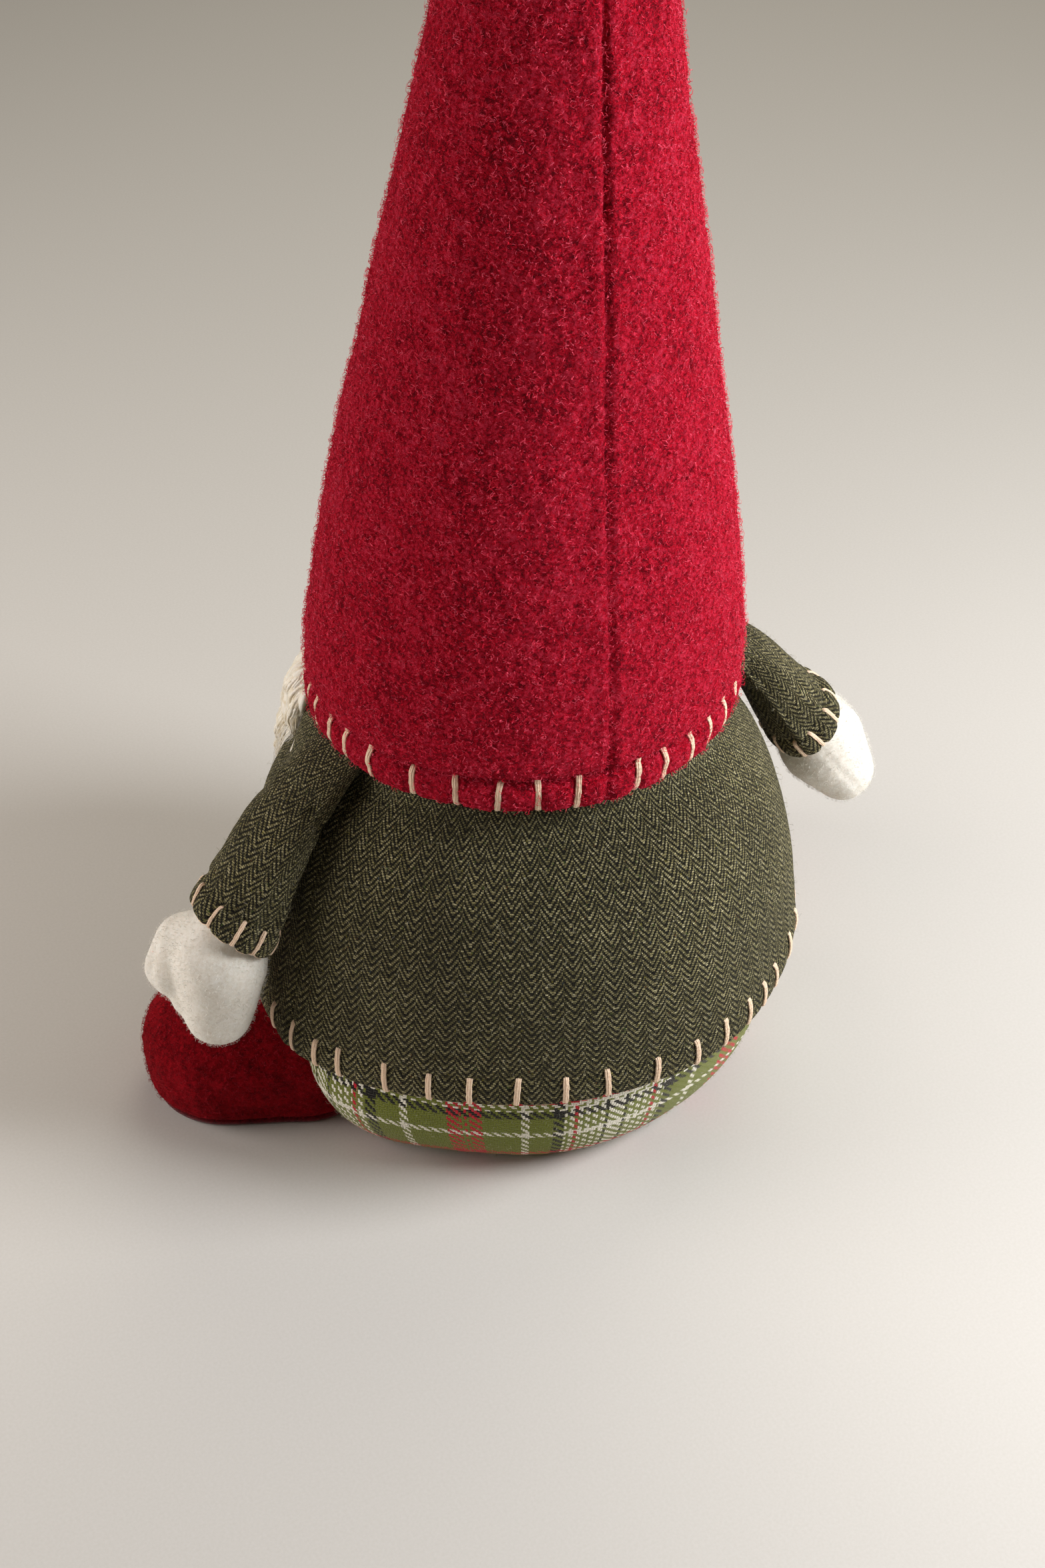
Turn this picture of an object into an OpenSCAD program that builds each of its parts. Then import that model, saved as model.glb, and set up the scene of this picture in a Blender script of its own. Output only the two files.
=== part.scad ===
// Seated tomte gnome: stuffed cloth figure with a tall felt hat, tweed coat,
// tartan seat, felt shoes, mittens, nose and wool beard.
// Millimetres. +Z up, the face looks along -Y, the figure's left hand is at +X.
// The origin is the centre of the flat seat that the figure rests on.

/* [Hat] */
// Height of the hat's tip above the resting surface
hat_top = 484; // [430:1:520]
// Outer radius of the hat at its brim
hat_r = 62; // [60:0.5:63]
// Height of the brim's lower edge at the back
brim_z = 128; // [126:0.5:131]
// Sideways tilt of the hat in degrees
hat_tilt = 1.6; // [0:0.1:2]
// Thickness of the hat's felt
felt_t = 3; // [2:0.5:3.5]
// Number of blanket stitches around the brim
hat_stitches = 32; // [20:1:40]

/* [Coat and seat] */
// Height of the coat's hem above the resting surface
coat_hem_z = 43; // [41:0.5:48]
// Thickness of the tweed
tweed_t = 2; // [1.5:0.5:2.5]
// Number of blanket stitches around the coat's hem
coat_stitches = 42; // [24:1:48]
// Height of the top edge of the tartan seat, under the coat
seat_top_z = 63; // [58:1:66]
// Thickness of the tartan flannel
flannel_t = 1.6; // [1.2:0.2:2]

/* [Arms] */
// Angle of the left arm from straight down, in degrees
arm_left = 38; // [38:1:48]
// Angle of the right arm from straight down, in degrees
arm_right = 42.5; // [40:0.5:48]
// Length of a sleeve from the shoulder seam to the cuff
sleeve_l = 48.5; // [46:0.5:56]
// Half the width of a sleeve at the cuff, from front to back
cuff_w = 15; // [14:0.2:16]
// How far the left hand droops below its sleeve's line
droop_left = 12; // [0:1:14]
// How far the right hand droops below its sleeve's line
droop_right = 5; // [0:1:14]
// Number of blanket stitches around each cuff
cuff_stitches = 10; // [6:2:14]
// How far the right shoulder is turned towards the back, in degrees
turn_right = 8; // [0:1:10]

/* [Feet] */
// Angle of the left foot, turned forward from straight sideways
foot_left = 30; // [26:1:40]
// Angle of the right foot, turned forward from straight sideways
foot_right = 42; // [30:1:46]
// Height of a shoe above the resting surface
shoe_h = 37.5; // [32:0.5:38]

/* [Face] */
// Radius of the nose
nose_r = 14.5; // [12:0.5:15]
// Half of the arc that the beard covers, in degrees
beard_arc = 56; // [45:1:58]
// Height of the beard's lowest point
beard_low_z = 46; // [40:1:70]

/* [Hidden] */
$fn = 96;

red = [0.62, 0.03, 0.09];
tweed = [0.16, 0.17, 0.11];
tartan = [0.36, 0.38, 0.17];
cream = [0.90, 0.86, 0.78];
thread = [0.85, 0.68, 0.52];
fill_c = [0.94, 0.94, 0.92];

// Shoulder seams: x, and the height of each
shoulder_x = 67.2;
shoulder_zl = 120;
shoulder_zr = 122;
thread_r = 0.7;

// Coat profile, [radius, height], outside
coat_p = [[85, coat_hem_z], [84.6, 50], [83.4, 62], [81.6, 76], [78.7, 89], [74.6, 101], [69.2, 111],
          [63.4, 119], [58.2, 125], [54.0, 131], [49.0, 137], [41.5, 144], [31, 149.5], [20, 152]];
// Seat profile, [radius, height], outside
seat_p = [[57.5, 0], [61.5, 1.6], [66.2, 5.2], [70.2, 10.5], [73.8, 18], [76.6, 28], [78.2, 40], [79.0, 52], [78.8, seat_top_z]];

// A profile moved inward by t, along its own normals in the plane
function dir(a, b) = let (d = b - a, l = norm(d)) d / l;
function normal_at(p, i) = let (n = len(p),
    a = i == 0 ? dir(p[0], p[1]) : i == n - 1 ? dir(p[n - 2], p[n - 1]) : dir(p[i - 1], p[i]) + dir(p[i], p[i + 1 < n ? i + 1 : i]),
    l = norm(a)) [a[1], -a[0]] / l;
function inset(p, t) = [for (i = [0:len(p) - 1]) p[i] - t * normal_at(p, i)];
function rev(p) = [for (i = [len(p) - 1:-1:0]) p[i]];
function level(p, z0, z1) = [for (i = [0:len(p) - 1]) [max(p[i][0], 0), i == 0 ? z0 : i == len(p) - 1 ? z1 : p[i][1]]];

module shell_of(p, t) rotate_extrude() polygon(concat(p, rev(level(inset(p, t), p[0][1], p[len(p) - 1][1] - t))));
module solid_of(p) rotate_extrude() polygon(concat([[0, p[0][1]]], p, [[0, p[len(p) - 1][1]]]));

// ---------- seat ----------
module seat_panel() color(tartan) cylinder(r = 55.6, h = 1.8);

module base_board() color([0.7, 0.6, 0.45]) translate([0, 0, 1.9]) cylinder(r = 54.5, h = 2.4);

module ballast_bag() color([0.8, 0.78, 0.7]) rotate_extrude()
    polygon([[0, 4.4], [46, 4.4], [50, 6], [52, 10], [51, 16], [46, 20], [30, 22.5], [0, 23.5]]);

module tartan_seat() color(tartan) shell_of(seat_p, flannel_t);

module body_filling() color(fill_c) difference() {
    rotate_extrude() polygon([[0, 4.5], [53, 4.5], [60, 6.4], [66.5, 11.6], [71.0, 19], [73.9, 28.6], [75.6, 40], [76.4, 52], [76.4, 66],
        [76.6, 76], [74.4, 87], [70.6, 98.5], [65.4, 108.2], [59.8, 116], [54.6, 122], [50.4, 128], [45.8, 133.6], [38.8, 140], [28.6, 145.2], [18, 147], [0, 148]]);
    rotate_extrude() polygon([[0, 4.2], [46.5, 4.2], [50.5, 5.7], [52.5, 10], [51.5, 16.4], [46.3, 20.5], [30.2, 23], [0, 24]]);
}

// Plain cotton bag that holds the filling, over the tartan seat's top edge
module torso_bag() color([0.85, 0.83, 0.78]) rotate_extrude()
    polygon([[76.8, 64], [78.6, 64], [78.9, 70], [77.6, 76], [75.3, 87.5], [71.5, 99.2], [66.2, 109], [60.5, 116.9], [55.3, 123], [51.1, 129], [46.4, 134.6], [39.2, 141.1], [28.8, 146.3], [18, 148.3], [0, 149.3],
        [0, 148.3], [18, 147.3], [28.6, 145.4], [38.8, 140.2], [45.9, 133.8], [50.5, 128.2], [54.7, 122.2], [59.9, 116.2], [65.5, 108.4], [70.7, 98.7], [74.5, 87.2], [76.8, 76]]);

// ---------- coat ----------
module coat() color(tweed) shell_of(coat_p, tweed_t);

module coat_hem_stitches() color(thread) for (i = [0:coat_stitches - 1]) rotate([0, 0, (i + 0.5) * 360 / coat_stitches])
    translate([coat_p[0][0] + thread_r + 0.1, 0, coat_hem_z - 0.8]) cylinder(r = thread_r, h = 9.6, $fn = 16);

// ---------- hat ----------
hat_p = [[hat_r - 0.3, brim_z], [hat_r, brim_z + 6], [hat_r, 148], [61.4, 161], [60.4, 173], [59.0, 184], [55.8, 205], [51.8, 226], [47.5, 246],
         [43.9, 266], [40.2, 284], [36.8, 302], [33.4, 320], [30.2, 337], [22.6, 375], [15.6, 411], [10.2, 441], [6.4, hat_top - 22], [4.6, hat_top - 9], [2.6, hat_top - 2.5], [0, hat_top]];
// The hat's hollow, g inside its outer surface
function hat_in(g) = concat([for (i = [0:17]) [hat_p[i][0] - g, hat_p[i][1]]], [[0, hat_top - 4 * g]]);
module tilt_hat() translate([0, 0, brim_z]) rotate([0, -hat_tilt, 0]) translate([0, 0, -brim_z]) children();

module hat() color(red) tilt_hat() difference() {
    solid_of(hat_p);
    rotate_extrude() polygon(concat([[0, brim_z - 1], [hat_p[0][0] - felt_t, brim_z - 1]], hat_in(felt_t)));
}

module hat_filling() color(fill_c) difference() {
    tilt_hat() rotate_extrude() polygon(concat([[0, brim_z + 2]], [for (q = hat_in(felt_t + 0.3)) [q[0], max(q[1], brim_z + 2)]]));
    rotate_extrude() polygon([[0, 100], [64, 100], [64, 118], [60.0, 125], [56.5, 131.6], [51.5, 138], [43.4, 146], [32, 152], [20, 155], [0, 156]]);
}

module hat_hem_stitches() color(thread) tilt_hat() for (i = [0:hat_stitches - 1]) rotate([0, 0, (i + 0.5) * 360 / hat_stitches])
    translate([hat_r + thread_r + 0.1, 0, brim_z + 0.2]) cylinder(r = thread_r, h = 8.6, $fn = 16);

// ---------- face ----------
nose_y = -77;
nose_z = 113;
// The side of the nose that is sewn flat to the body, d from the nose's centre
module nose_back(d) translate([0, nose_y, nose_z]) rotate([-36, 0, 0]) translate([-50, d, -50]) cube([100, 100, 100]);

module nose_cover() color([0.86, 0.72, 0.62]) difference() {
    translate([0, nose_y, nose_z]) difference() { sphere(r = nose_r); sphere(r = nose_r - 1.5); }
    nose_back(5.2);
}
module nose_filling() color(fill_c) difference() {
    translate([0, nose_y, nose_z]) sphere(r = nose_r - 1.7);
    nose_back(5);
}

// Outline of the beard, seen from the front
module beard_outline() polygon([for (i = [0:24]) let (a = -90 + 7.5 * i)
    [60 * sin(a), 100 - (100 - beard_low_z) * pow(cos(a), 0.8)]]);

module beard_backing() color([0.88, 0.84, 0.76]) difference() {
    rotate([0, 0, 270 - beard_arc + 4]) rotate_extrude(angle = 2 * beard_arc - 8)
        polygon([[71.2, 109], [65.4, 117], [60.4, 124], [61.8, 124.8], [67.0, 118.0], [72.8, 110.2]]);
    translate([0, nose_y, nose_z]) sphere(r = nose_r + 0.4);
}

module beard_locks() color(cream) difference() {
    intersection() {
        rotate([0, 0, 270 - beard_arc]) rotate_extrude(angle = 2 * beard_arc)
            polygon([[87.3, 42], [86.9, 54], [84.6, 64], [82.8, 77], [80.1, 90], [76.4, 102], [73.6, 110.6], [67.9, 118.4], [62.6, 125.4], [58.2, 129], [55.4, 133.5],
                     [58.0, 134], [58.3, 128.6], [60.5, 126], [63.8, 126.2], [69.5, 124.5], [76, 119.5], [82, 111.5], [86.8, 101], [90.2, 88], [92.4, 74], [93.6, 60], [94, 50], [93, 42]]);
        rotate([90, 0, 0]) linear_extrude(height = 120) union() {
            beard_outline();
            translate([-60, 99.5]) square([120, 40]);
        }
    }
    translate([0, nose_y, nose_z]) sphere(r = nose_r + 0.5);
}

// ---------- arms ----------
// Local frame: the shoulder seam lies along Y at the origin, and the arm runs along -Z.
// -Y is the thumb's side, and -X is the side that lies on the coat.
// A rounded slice of the sleeve at depth s, from x0 to x1 and w to each side
module slice(s, x0, x1, w, g) { r = (x1 - x0) / 2 - g;
    for (k = [-1, 1]) translate([(x0 + x1) / 2, k * (w - g - r), -s]) cylinder(r = r, h = 0.2, $fn = 32); }
module sleeve_solid(g) {
    e = g > 0 ? 1 : 0;
    hull() { slice(0.5 + g, -2.6, 6.4, 12, g * 0.9); slice(9, -2.9, 9.8, 13, g); }
    hull() { slice(9, -2.9, 9.8, 13, g); slice(20, -4.9, 11.8, 14, g); }
    hull() { slice(20, -4.9, 11.8, 14, g); slice(sleeve_l - 10, -11.4, 12.4, cuff_w, g); }
    hull() { slice(sleeve_l - 10, -11.4, 12.4, cuff_w, g); slice(sleeve_l + e, -12.4, 12.4, cuff_w, g); }
}
module sleeve() difference() { sleeve_solid(0); sleeve_solid(1.8); }
module sleeve_filling() intersection() {
    sleeve_solid(2.1);
    translate([-30, -30, -sleeve_l + 9]) cube([60, 60, 100]);
}
module hand_solid(g, d) {
    translate([0, 0, -sleeve_l - 1]) cylinder(r = 10.2 - g, h = 7, $fn = 28);
    hull() {
        translate([0, 0, -sleeve_l - 0.8]) cylinder(r = 10.2 - g, h = 0.2, $fn = 28);
        translate([-2, 0, -sleeve_l - 11.5]) sphere(r = 13.5 - g, $fn = 28);
        translate([-d, 2, -sleeve_l - 27]) sphere(r = 10.5 - g, $fn = 28);
    }
    hull() {
        translate([1, -5, -sleeve_l - 9]) sphere(r = 8.5 - g, $fn = 20);
        translate([3, -14, -sleeve_l - 22]) sphere(r = 7.2 - g, $fn = 20);
    }
}
module mitten(d) difference() {
    hand_solid(0, d);
    hand_solid(2, d);
    translate([0, 0, -sleeve_l - 2]) cylinder(r = 8.2, h = 16, $fn = 28);
}
module mitten_filling(d) intersection() {
    hand_solid(2.3, d);
    translate([-40, -40, -sleeve_l - 60]) cube([80, 80, 66]);
}
// Points spread around the cuff's rounded outline
function cuff_at(t) = let (r = 12.4 + thread_r + 0.15, q = cuff_w - 12.4) [r * cos(t), r * sin(t) + q * sign(sin(t))];
module cuff_stitches_set() for (i = [0:cuff_stitches - 1]) translate(concat(cuff_at((i + 0.5) * 360 / cuff_stitches), [-sleeve_l - 0.2]))
    cylinder(r = thread_r, h = 7, $fn = 16);

module at_left_shoulder() translate([shoulder_x, 0, shoulder_zl]) rotate([0, -arm_left, 0]) children();
module at_right_shoulder() mirror([1, 0, 0]) translate([shoulder_x, 0, shoulder_zr]) rotate([0, 0, turn_right]) rotate([0, -arm_right, 0]) children();

module left_sleeve() color(tweed) at_left_shoulder() sleeve();
module left_sleeve_filling() color(fill_c) at_left_shoulder() sleeve_filling();
module left_mitten() color(cream) at_left_shoulder() mitten(droop_left);
module left_mitten_filling() color(fill_c) at_left_shoulder() mitten_filling(droop_left);
module left_cuff_stitches() color(thread) at_left_shoulder() cuff_stitches_set();
module right_sleeve() color(tweed) at_right_shoulder() sleeve();
module right_sleeve_filling() color(fill_c) at_right_shoulder() sleeve_filling();
module right_mitten() color(cream) at_right_shoulder() mitten(droop_right);
module right_mitten_filling() color(fill_c) at_right_shoulder() mitten_filling(droop_right);
module right_cuff_stitches() color(thread) at_right_shoulder() cuff_stitches_set();

// ---------- feet ----------
// Local frame: X points from the seat to the toe, Y across the foot towards the figure's back.
foot_n = 27;
toe_x = 92;
// The foot turns about an upright seam at this place on the seat's side
hip_x = 71;
module disc(x, r, z, h = 0.2) translate([x, foot_n, z]) cylinder(r = r, h = h, $fn = 36);
module shoe_solid(g) hull() {
    disc(toe_x, 23 - g, 3.3 + g); disc(toe_x, 25.6 - g, 10, 8);
    disc(toe_x - 24, 22 - g, 3.3 + g); disc(toe_x - 24, 24.5 - g, 10, 8);
    disc(toe_x, 20.5 - g, 27.5); disc(toe_x - 1, 9.5 - g, shoe_h - g - 0.2);
    disc(toe_x - 24, 19 - g, 28); disc(toe_x - 24, 8 - g, shoe_h - g - 0.6);
}
// The seat's profile as a straight wall, g away from the seat, so that the foot can swing
module seat_wall(g) rotate([0, 0, atan2(foot_n, hip_x)]) rotate([90, 0, 0]) translate([0, 0, -120]) linear_extrude(height = 240)
    polygon([[-60, -2], [57.5 + g, -2], [61.5 + g, 1.6], [66.2 + g, 5.2], [70.2 + g, 10.5], [73.8 + g, 18], [76.6 + g, 28], [78.2 + g, 40], [78.6 + g, 46], [-60, 46]]);
module shoe_upper() difference() { shoe_solid(0); shoe_solid(2.6); seat_wall(2.2); }
module shoe_filling() difference() { shoe_solid(2.9); seat_wall(10); }
module shoe_sole() difference() {
    hull() { disc(toe_x, 22.6, 0, 3); disc(toe_x - 24, 21.6, 0, 3); }
    seat_wall(2.4);
}
// Short cloth leg inside the shoe's collar, sewn to the seat's side
module trouser_leg() difference() {
    translate([50, foot_n, 18]) rotate([0, 90, 0]) cylinder(r = 11, h = 50, $fn = 48);
    seat_wall(1.9);
    difference() { translate([0, -100, -5]) cube([200, 260, 50]); seat_wall(9.7); }
}

module at_left_foot() rotate([0, 0, -foot_left]) children();
module at_right_foot() mirror([1, 0, 0]) rotate([0, 0, -foot_right]) children();

module left_shoe_upper() color(red) at_left_foot() shoe_upper();
module left_shoe_filling() color(fill_c) at_left_foot() shoe_filling();
module left_shoe_sole() color(red) at_left_foot() shoe_sole();
module left_trouser_leg() color(tartan) at_left_foot() trouser_leg();
module right_shoe_upper() color(red) at_right_foot() shoe_upper();
module right_shoe_filling() color(fill_c) at_right_foot() shoe_filling();
module right_shoe_sole() color(red) at_right_foot() shoe_sole();
module right_trouser_leg() color(tartan) at_right_foot() trouser_leg();

seat_panel();
base_board();
ballast_bag();
tartan_seat();
body_filling();
torso_bag();
coat();
coat_hem_stitches();
hat();
hat_filling();
hat_hem_stitches();
nose_cover();
nose_filling();
beard_locks();
beard_backing();
left_sleeve();
left_sleeve_filling();
left_mitten();
left_mitten_filling();
left_cuff_stitches();
right_sleeve();
right_sleeve_filling();
right_mitten();
right_mitten_filling();
right_cuff_stitches();
left_shoe_upper();
left_shoe_filling();
left_shoe_sole();
left_trouser_leg();
right_shoe_upper();
right_shoe_filling();
right_shoe_sole();
right_trouser_leg();
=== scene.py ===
import bpy, bmesh, math
import numpy as np
from mathutils import Vector, Matrix


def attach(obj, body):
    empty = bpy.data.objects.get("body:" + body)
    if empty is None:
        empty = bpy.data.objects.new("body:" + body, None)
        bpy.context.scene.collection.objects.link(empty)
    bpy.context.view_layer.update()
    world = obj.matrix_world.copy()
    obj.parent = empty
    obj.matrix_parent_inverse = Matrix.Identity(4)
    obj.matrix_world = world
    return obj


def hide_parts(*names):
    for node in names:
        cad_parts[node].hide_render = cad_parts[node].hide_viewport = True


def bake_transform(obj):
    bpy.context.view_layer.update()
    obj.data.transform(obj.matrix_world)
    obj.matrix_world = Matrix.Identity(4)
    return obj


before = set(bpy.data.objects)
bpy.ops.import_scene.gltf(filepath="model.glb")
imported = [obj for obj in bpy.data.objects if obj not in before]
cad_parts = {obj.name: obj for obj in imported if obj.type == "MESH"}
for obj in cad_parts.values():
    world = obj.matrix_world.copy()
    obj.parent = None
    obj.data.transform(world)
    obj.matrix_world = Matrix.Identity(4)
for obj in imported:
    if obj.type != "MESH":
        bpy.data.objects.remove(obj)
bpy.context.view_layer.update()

MM = 0.001
rng = np.random.default_rng(7)

# ------------------------------------------------------------------ helpers
def smooth(e0, e1, x):
    t = np.clip((np.asarray(x, float) - e0) / (e1 - e0), 0, 1)
    return t * t * (3 - 2 * t)

def _hash(i, j, k, seed):
    h = (i.astype(np.int64) * 374761393 + j.astype(np.int64) * 668265263 + k.astype(np.int64) * 974634777 + seed * 69069 + 12345) & 0xFFFFFFFF
    h = ((h ^ (h >> 13)) * 1274126177) & 0xFFFFFFFF
    h = ((h ^ (h >> 16)) * 2246822519) & 0xFFFFFFFF
    return ((h ^ (h >> 15)) & 0xFFFFFF) / float(0xFFFFFF) * 2 - 1

def noise(P, size, seed=0):
    """Smooth value noise in -1..1 at points P (mm) with a feature size in mm."""
    q = np.asarray(P, float) / size + 1000.0
    f = np.floor(q); t = q - f; t = t * t * t * (t * (t * 6 - 15) + 10); f = f.astype(np.int64)
    out = 0
    for a in (0, 1):
        for b in (0, 1):
            for c in (0, 1):
                w = (t[..., 0] if a else 1 - t[..., 0]) * (t[..., 1] if b else 1 - t[..., 1]) * (t[..., 2] if c else 1 - t[..., 2])
                out = out + w * _hash(f[..., 0] + a, f[..., 1] + b, f[..., 2] + c, seed)
    return out

def fbm(P, size, octaves=3, seed=0):
    s, a, t = 0, 1, 0
    for o in range(octaves):
        s = s + a * noise(P, size / 2 ** o, seed + o * 17); t += a; a *= 0.5
    return s / t

def interp_per(x, xs, ys, period=360.0):
    """Smooth periodic interpolation."""
    xs = np.asarray(xs, float); ys = np.asarray(ys, float)
    X = np.concatenate([xs - period, xs, xs + period]); Y = np.concatenate([ys, ys, ys])
    return cubic(np.mod(x, period), X, Y)

def cubic(x, X, Y):
    """Catmull-Rom through uneven points (monotone-ish)."""
    x = np.asarray(x, float); X = np.asarray(X, float); Y = np.asarray(Y, float)
    d = np.diff(Y) / np.diff(X)
    m = np.empty_like(Y); m[0], m[-1] = d[0], d[-1]
    a, b = d[:-1], d[1:]
    m[1:-1] = np.where(a * b > 0, 2 * a * b / np.where(np.abs(a + b) < 1e-12, 1e-12, a + b), 0)
    i = np.clip(np.searchsorted(X, x) - 1, 0, len(X) - 2)
    h = X[i + 1] - X[i]; t = np.clip((x - X[i]) / h, 0, 1)
    return (Y[i] * (1 + 2 * t) * (1 - t) ** 2 + m[i] * h * t * (1 - t) ** 2 + Y[i + 1] * t * t * (3 - 2 * t) + m[i + 1] * h * t * t * (t - 1))

def new_object(name, verts, faces, uv=None, mats=()):
    """verts in mm."""
    me = bpy.data.meshes.new(name)
    v = np.asarray(verts, float) * MM
    me.from_pydata(v.tolist(), [], [list(map(int, f)) for f in faces])
    if uv is not None:
        layer = me.uv_layers.new(name="cloth")
        idx = np.empty(len(me.loops), np.int64); me.loops.foreach_get("vertex_index", idx)
        layer.data.foreach_set("uv", np.asarray(uv, float)[idx].astype(np.float32).ravel())
    me.update()
    me.shade_smooth()
    ob = bpy.data.objects.new(name, me)
    bpy.context.scene.collection.objects.link(ob)
    for m in mats:
        me.materials.append(m)
    return ob

def grid_faces(nu, nv, closed_u=True, closed_v=False, flip=False):
    iu = np.arange(nu if closed_u else nu - 1); iv = np.arange(nv if closed_v else nv - 1)
    I, J = np.meshgrid(iu, iv, indexing="ij")
    I2, J2 = (I + 1) % nu, (J + 1) % nv
    f = np.stack([I * nv + J, I2 * nv + J, I2 * nv + J2, I * nv + J2], -1).reshape(-1, 4)
    return f[:, ::-1] if flip else f

def grid_normals(P, closed_u=True, closed_v=False):
    du = (np.roll(P, -1, 0) - np.roll(P, 1, 0)) if closed_u else np.gradient(P, axis=0)
    dv = (np.roll(P, -1, 1) - np.roll(P, 1, 1)) if closed_v else np.gradient(P, axis=1)
    n = np.cross(du, dv); l = np.linalg.norm(n, axis=-1, keepdims=True)
    return n / np.where(l < 1e-9, 1, l)

def grid_object(name, P, uv, mats, closed_u=True, closed_v=False, cap0=False, cap1=False, flip=False):
    """P (nu, nv, 3) mm, uv (nu, nv, 2) in metres; u closed means the first column is repeated for the uv seam by face corners."""
    nu, nv = P.shape[:2]
    faces = grid_faces(nu, nv, closed_u, closed_v, flip)
    verts = P.reshape(-1, 3)
    me = bpy.data.meshes.new(name)
    extra = []; caps = []
    if cap0:
        extra.append(P[:, 0].mean(0)); k = nu * nv + len(extra) - 1
        caps += [[i * nv, k, ((i + 1) % nu) * nv] if not flip else [((i + 1) % nu) * nv, k, i * nv] for i in range(nu)]
    if cap1:
        extra.append(P[:, -1].mean(0)); k = nu * nv + len(extra) - 1
        caps += [[((i + 1) % nu) * nv + nv - 1, k, i * nv + nv - 1] if not flip else [i * nv + nv - 1, k, ((i + 1) % nu) * nv + nv - 1] for i in range(nu)]
    allv = np.concatenate([verts, np.array(extra).reshape(-1, 3)]) if extra else verts
    me.from_pydata((allv * MM).tolist(), [], faces.tolist() + caps)
    layer = me.uv_layers.new(name="cloth")
    U = uv[..., 0].reshape(-1); V = uv[..., 1].reshape(-1)
    if extra:
        U = np.concatenate([U, [U.mean()] * len(extra)]); V = np.concatenate([V, [V.mean()] * len(extra)])
    li = np.empty(len(me.loops), np.int64); me.loops.foreach_get("vertex_index", li)
    lu, lv = U[li].copy(), V[li].copy()
    if closed_u:   # the last column's faces wrap round: carry u on past the end
        step = (U.reshape(-1)[(nu - 1) * nv] - U.reshape(-1)[0]) / (nu - 1)
        per = step * nu
        nf = len(faces); q = lu[: nf * 4].reshape(nf, 4)
        wrap = (q.max(1) - q.min(1)) > abs(per) * 0.5
        if per > 0: q[wrap] = np.where(q[wrap] < q[wrap].max(1, keepdims=True) - per * 0.5, q[wrap] + per, q[wrap])
        else: q[wrap] = np.where(q[wrap] > q[wrap].min(1, keepdims=True) - per * 0.5, q[wrap] + per, q[wrap])
        lu[: nf * 4] = q.reshape(-1)
    layer.data.foreach_set("uv", np.stack([lu, lv], -1).astype(np.float32).ravel())
    me.update(); me.shade_smooth()
    ob = bpy.data.objects.new(name, me)
    bpy.context.scene.collection.objects.link(ob)
    for m in mats: me.materials.append(m)
    return ob

def upsample(P, nu, nv, closed_u=True):
    """Catmull-Rom resampling of a grid (closed in u) to nu x nv."""
    def one(A, n, closed, axis):
        A = np.moveaxis(A, axis, 0); m = len(A)
        x = np.arange(n) / n * m if closed else np.linspace(0, m - 1, n)
        i = np.floor(x).astype(int); t = (x - i)[:, None, None]
        g = (lambda k: A[(i + k) % m]) if closed else (lambda k: A[np.clip(i + k, 0, m - 1)])
        p0, p1, p2, p3 = g(-1), g(0), g(1), g(2)
        R = 0.5 * (2 * p1 + (p2 - p0) * t + (2 * p0 - 5 * p1 + 4 * p2 - p3) * t ** 2 + (3 * p1 - p0 - 3 * p2 + p3) * t ** 3)
        return np.moveaxis(R, 0, axis)
    return one(one(P, nu, closed_u, 0), nv, False, 1)

def cloth_puff(P, closed_u=True, pin=None, pressure=4.0, frames=20, cap=3.0, stiff=15.0, shrink=0.0):
    """A cloth simulation of a grid (mm): pressure on, gravity off, pinned where pin > 0; each point moves at most cap mm. Returns the new grid."""
    nu, nv = P.shape[:2]
    me = bpy.data.meshes.new("sim")
    S = 10.0   # solved ten times larger, where the solver's tolerances suit
    me.from_pydata((P.reshape(-1, 3) * MM * S).tolist(), [], grid_faces(nu, nv, closed_u).tolist()); me.update()
    ob = bpy.data.objects.new("sim", me); bpy.context.scene.collection.objects.link(ob)
    g = ob.vertex_groups.new(name="pin")
    w = np.zeros((nu, nv)) if pin is None else pin
    for k, val in enumerate(w.reshape(-1)):
        if val > 0: g.add([k], float(val), "REPLACE")
    m = ob.modifiers.new("c", "CLOTH"); s = m.settings
    s.quality = 6; s.mass = 0.3; s.tension_stiffness = stiff; s.compression_stiffness = stiff; s.shear_stiffness = 5; s.bending_stiffness = 0.6
    s.tension_damping = 8; s.compression_damping = 8; s.air_damping = 2
    s.use_pressure = True; s.uniform_pressure_force = pressure; s.vertex_group_mass = "pin"; s.pin_stiffness = 1
    s.shrink_min = shrink; s.effector_weights.gravity = 0
    m.collision_settings.use_collision = False; m.collision_settings.use_self_collision = False
    m.point_cache.frame_start = 1; m.point_cache.frame_end = frames
    sc = bpy.context.scene
    for f in range(1, frames + 1): sc.frame_set(f)
    dg = bpy.context.evaluated_depsgraph_get(); ev = ob.evaluated_get(dg)
    co = np.empty(nu * nv * 3); ev.data.vertices.foreach_get("co", co)
    Q = co.reshape(nu, nv, 3) / MM / S
    bpy.data.objects.remove(ob); bpy.data.meshes.remove(me); sc.frame_set(1)
    D = Q - P; l = np.linalg.norm(D, axis=-1, keepdims=True)
    D = np.where(np.isfinite(D), D, 0); D = D * np.minimum(1, cap / np.maximum(l, 1e-9))
    return P + D

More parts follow.
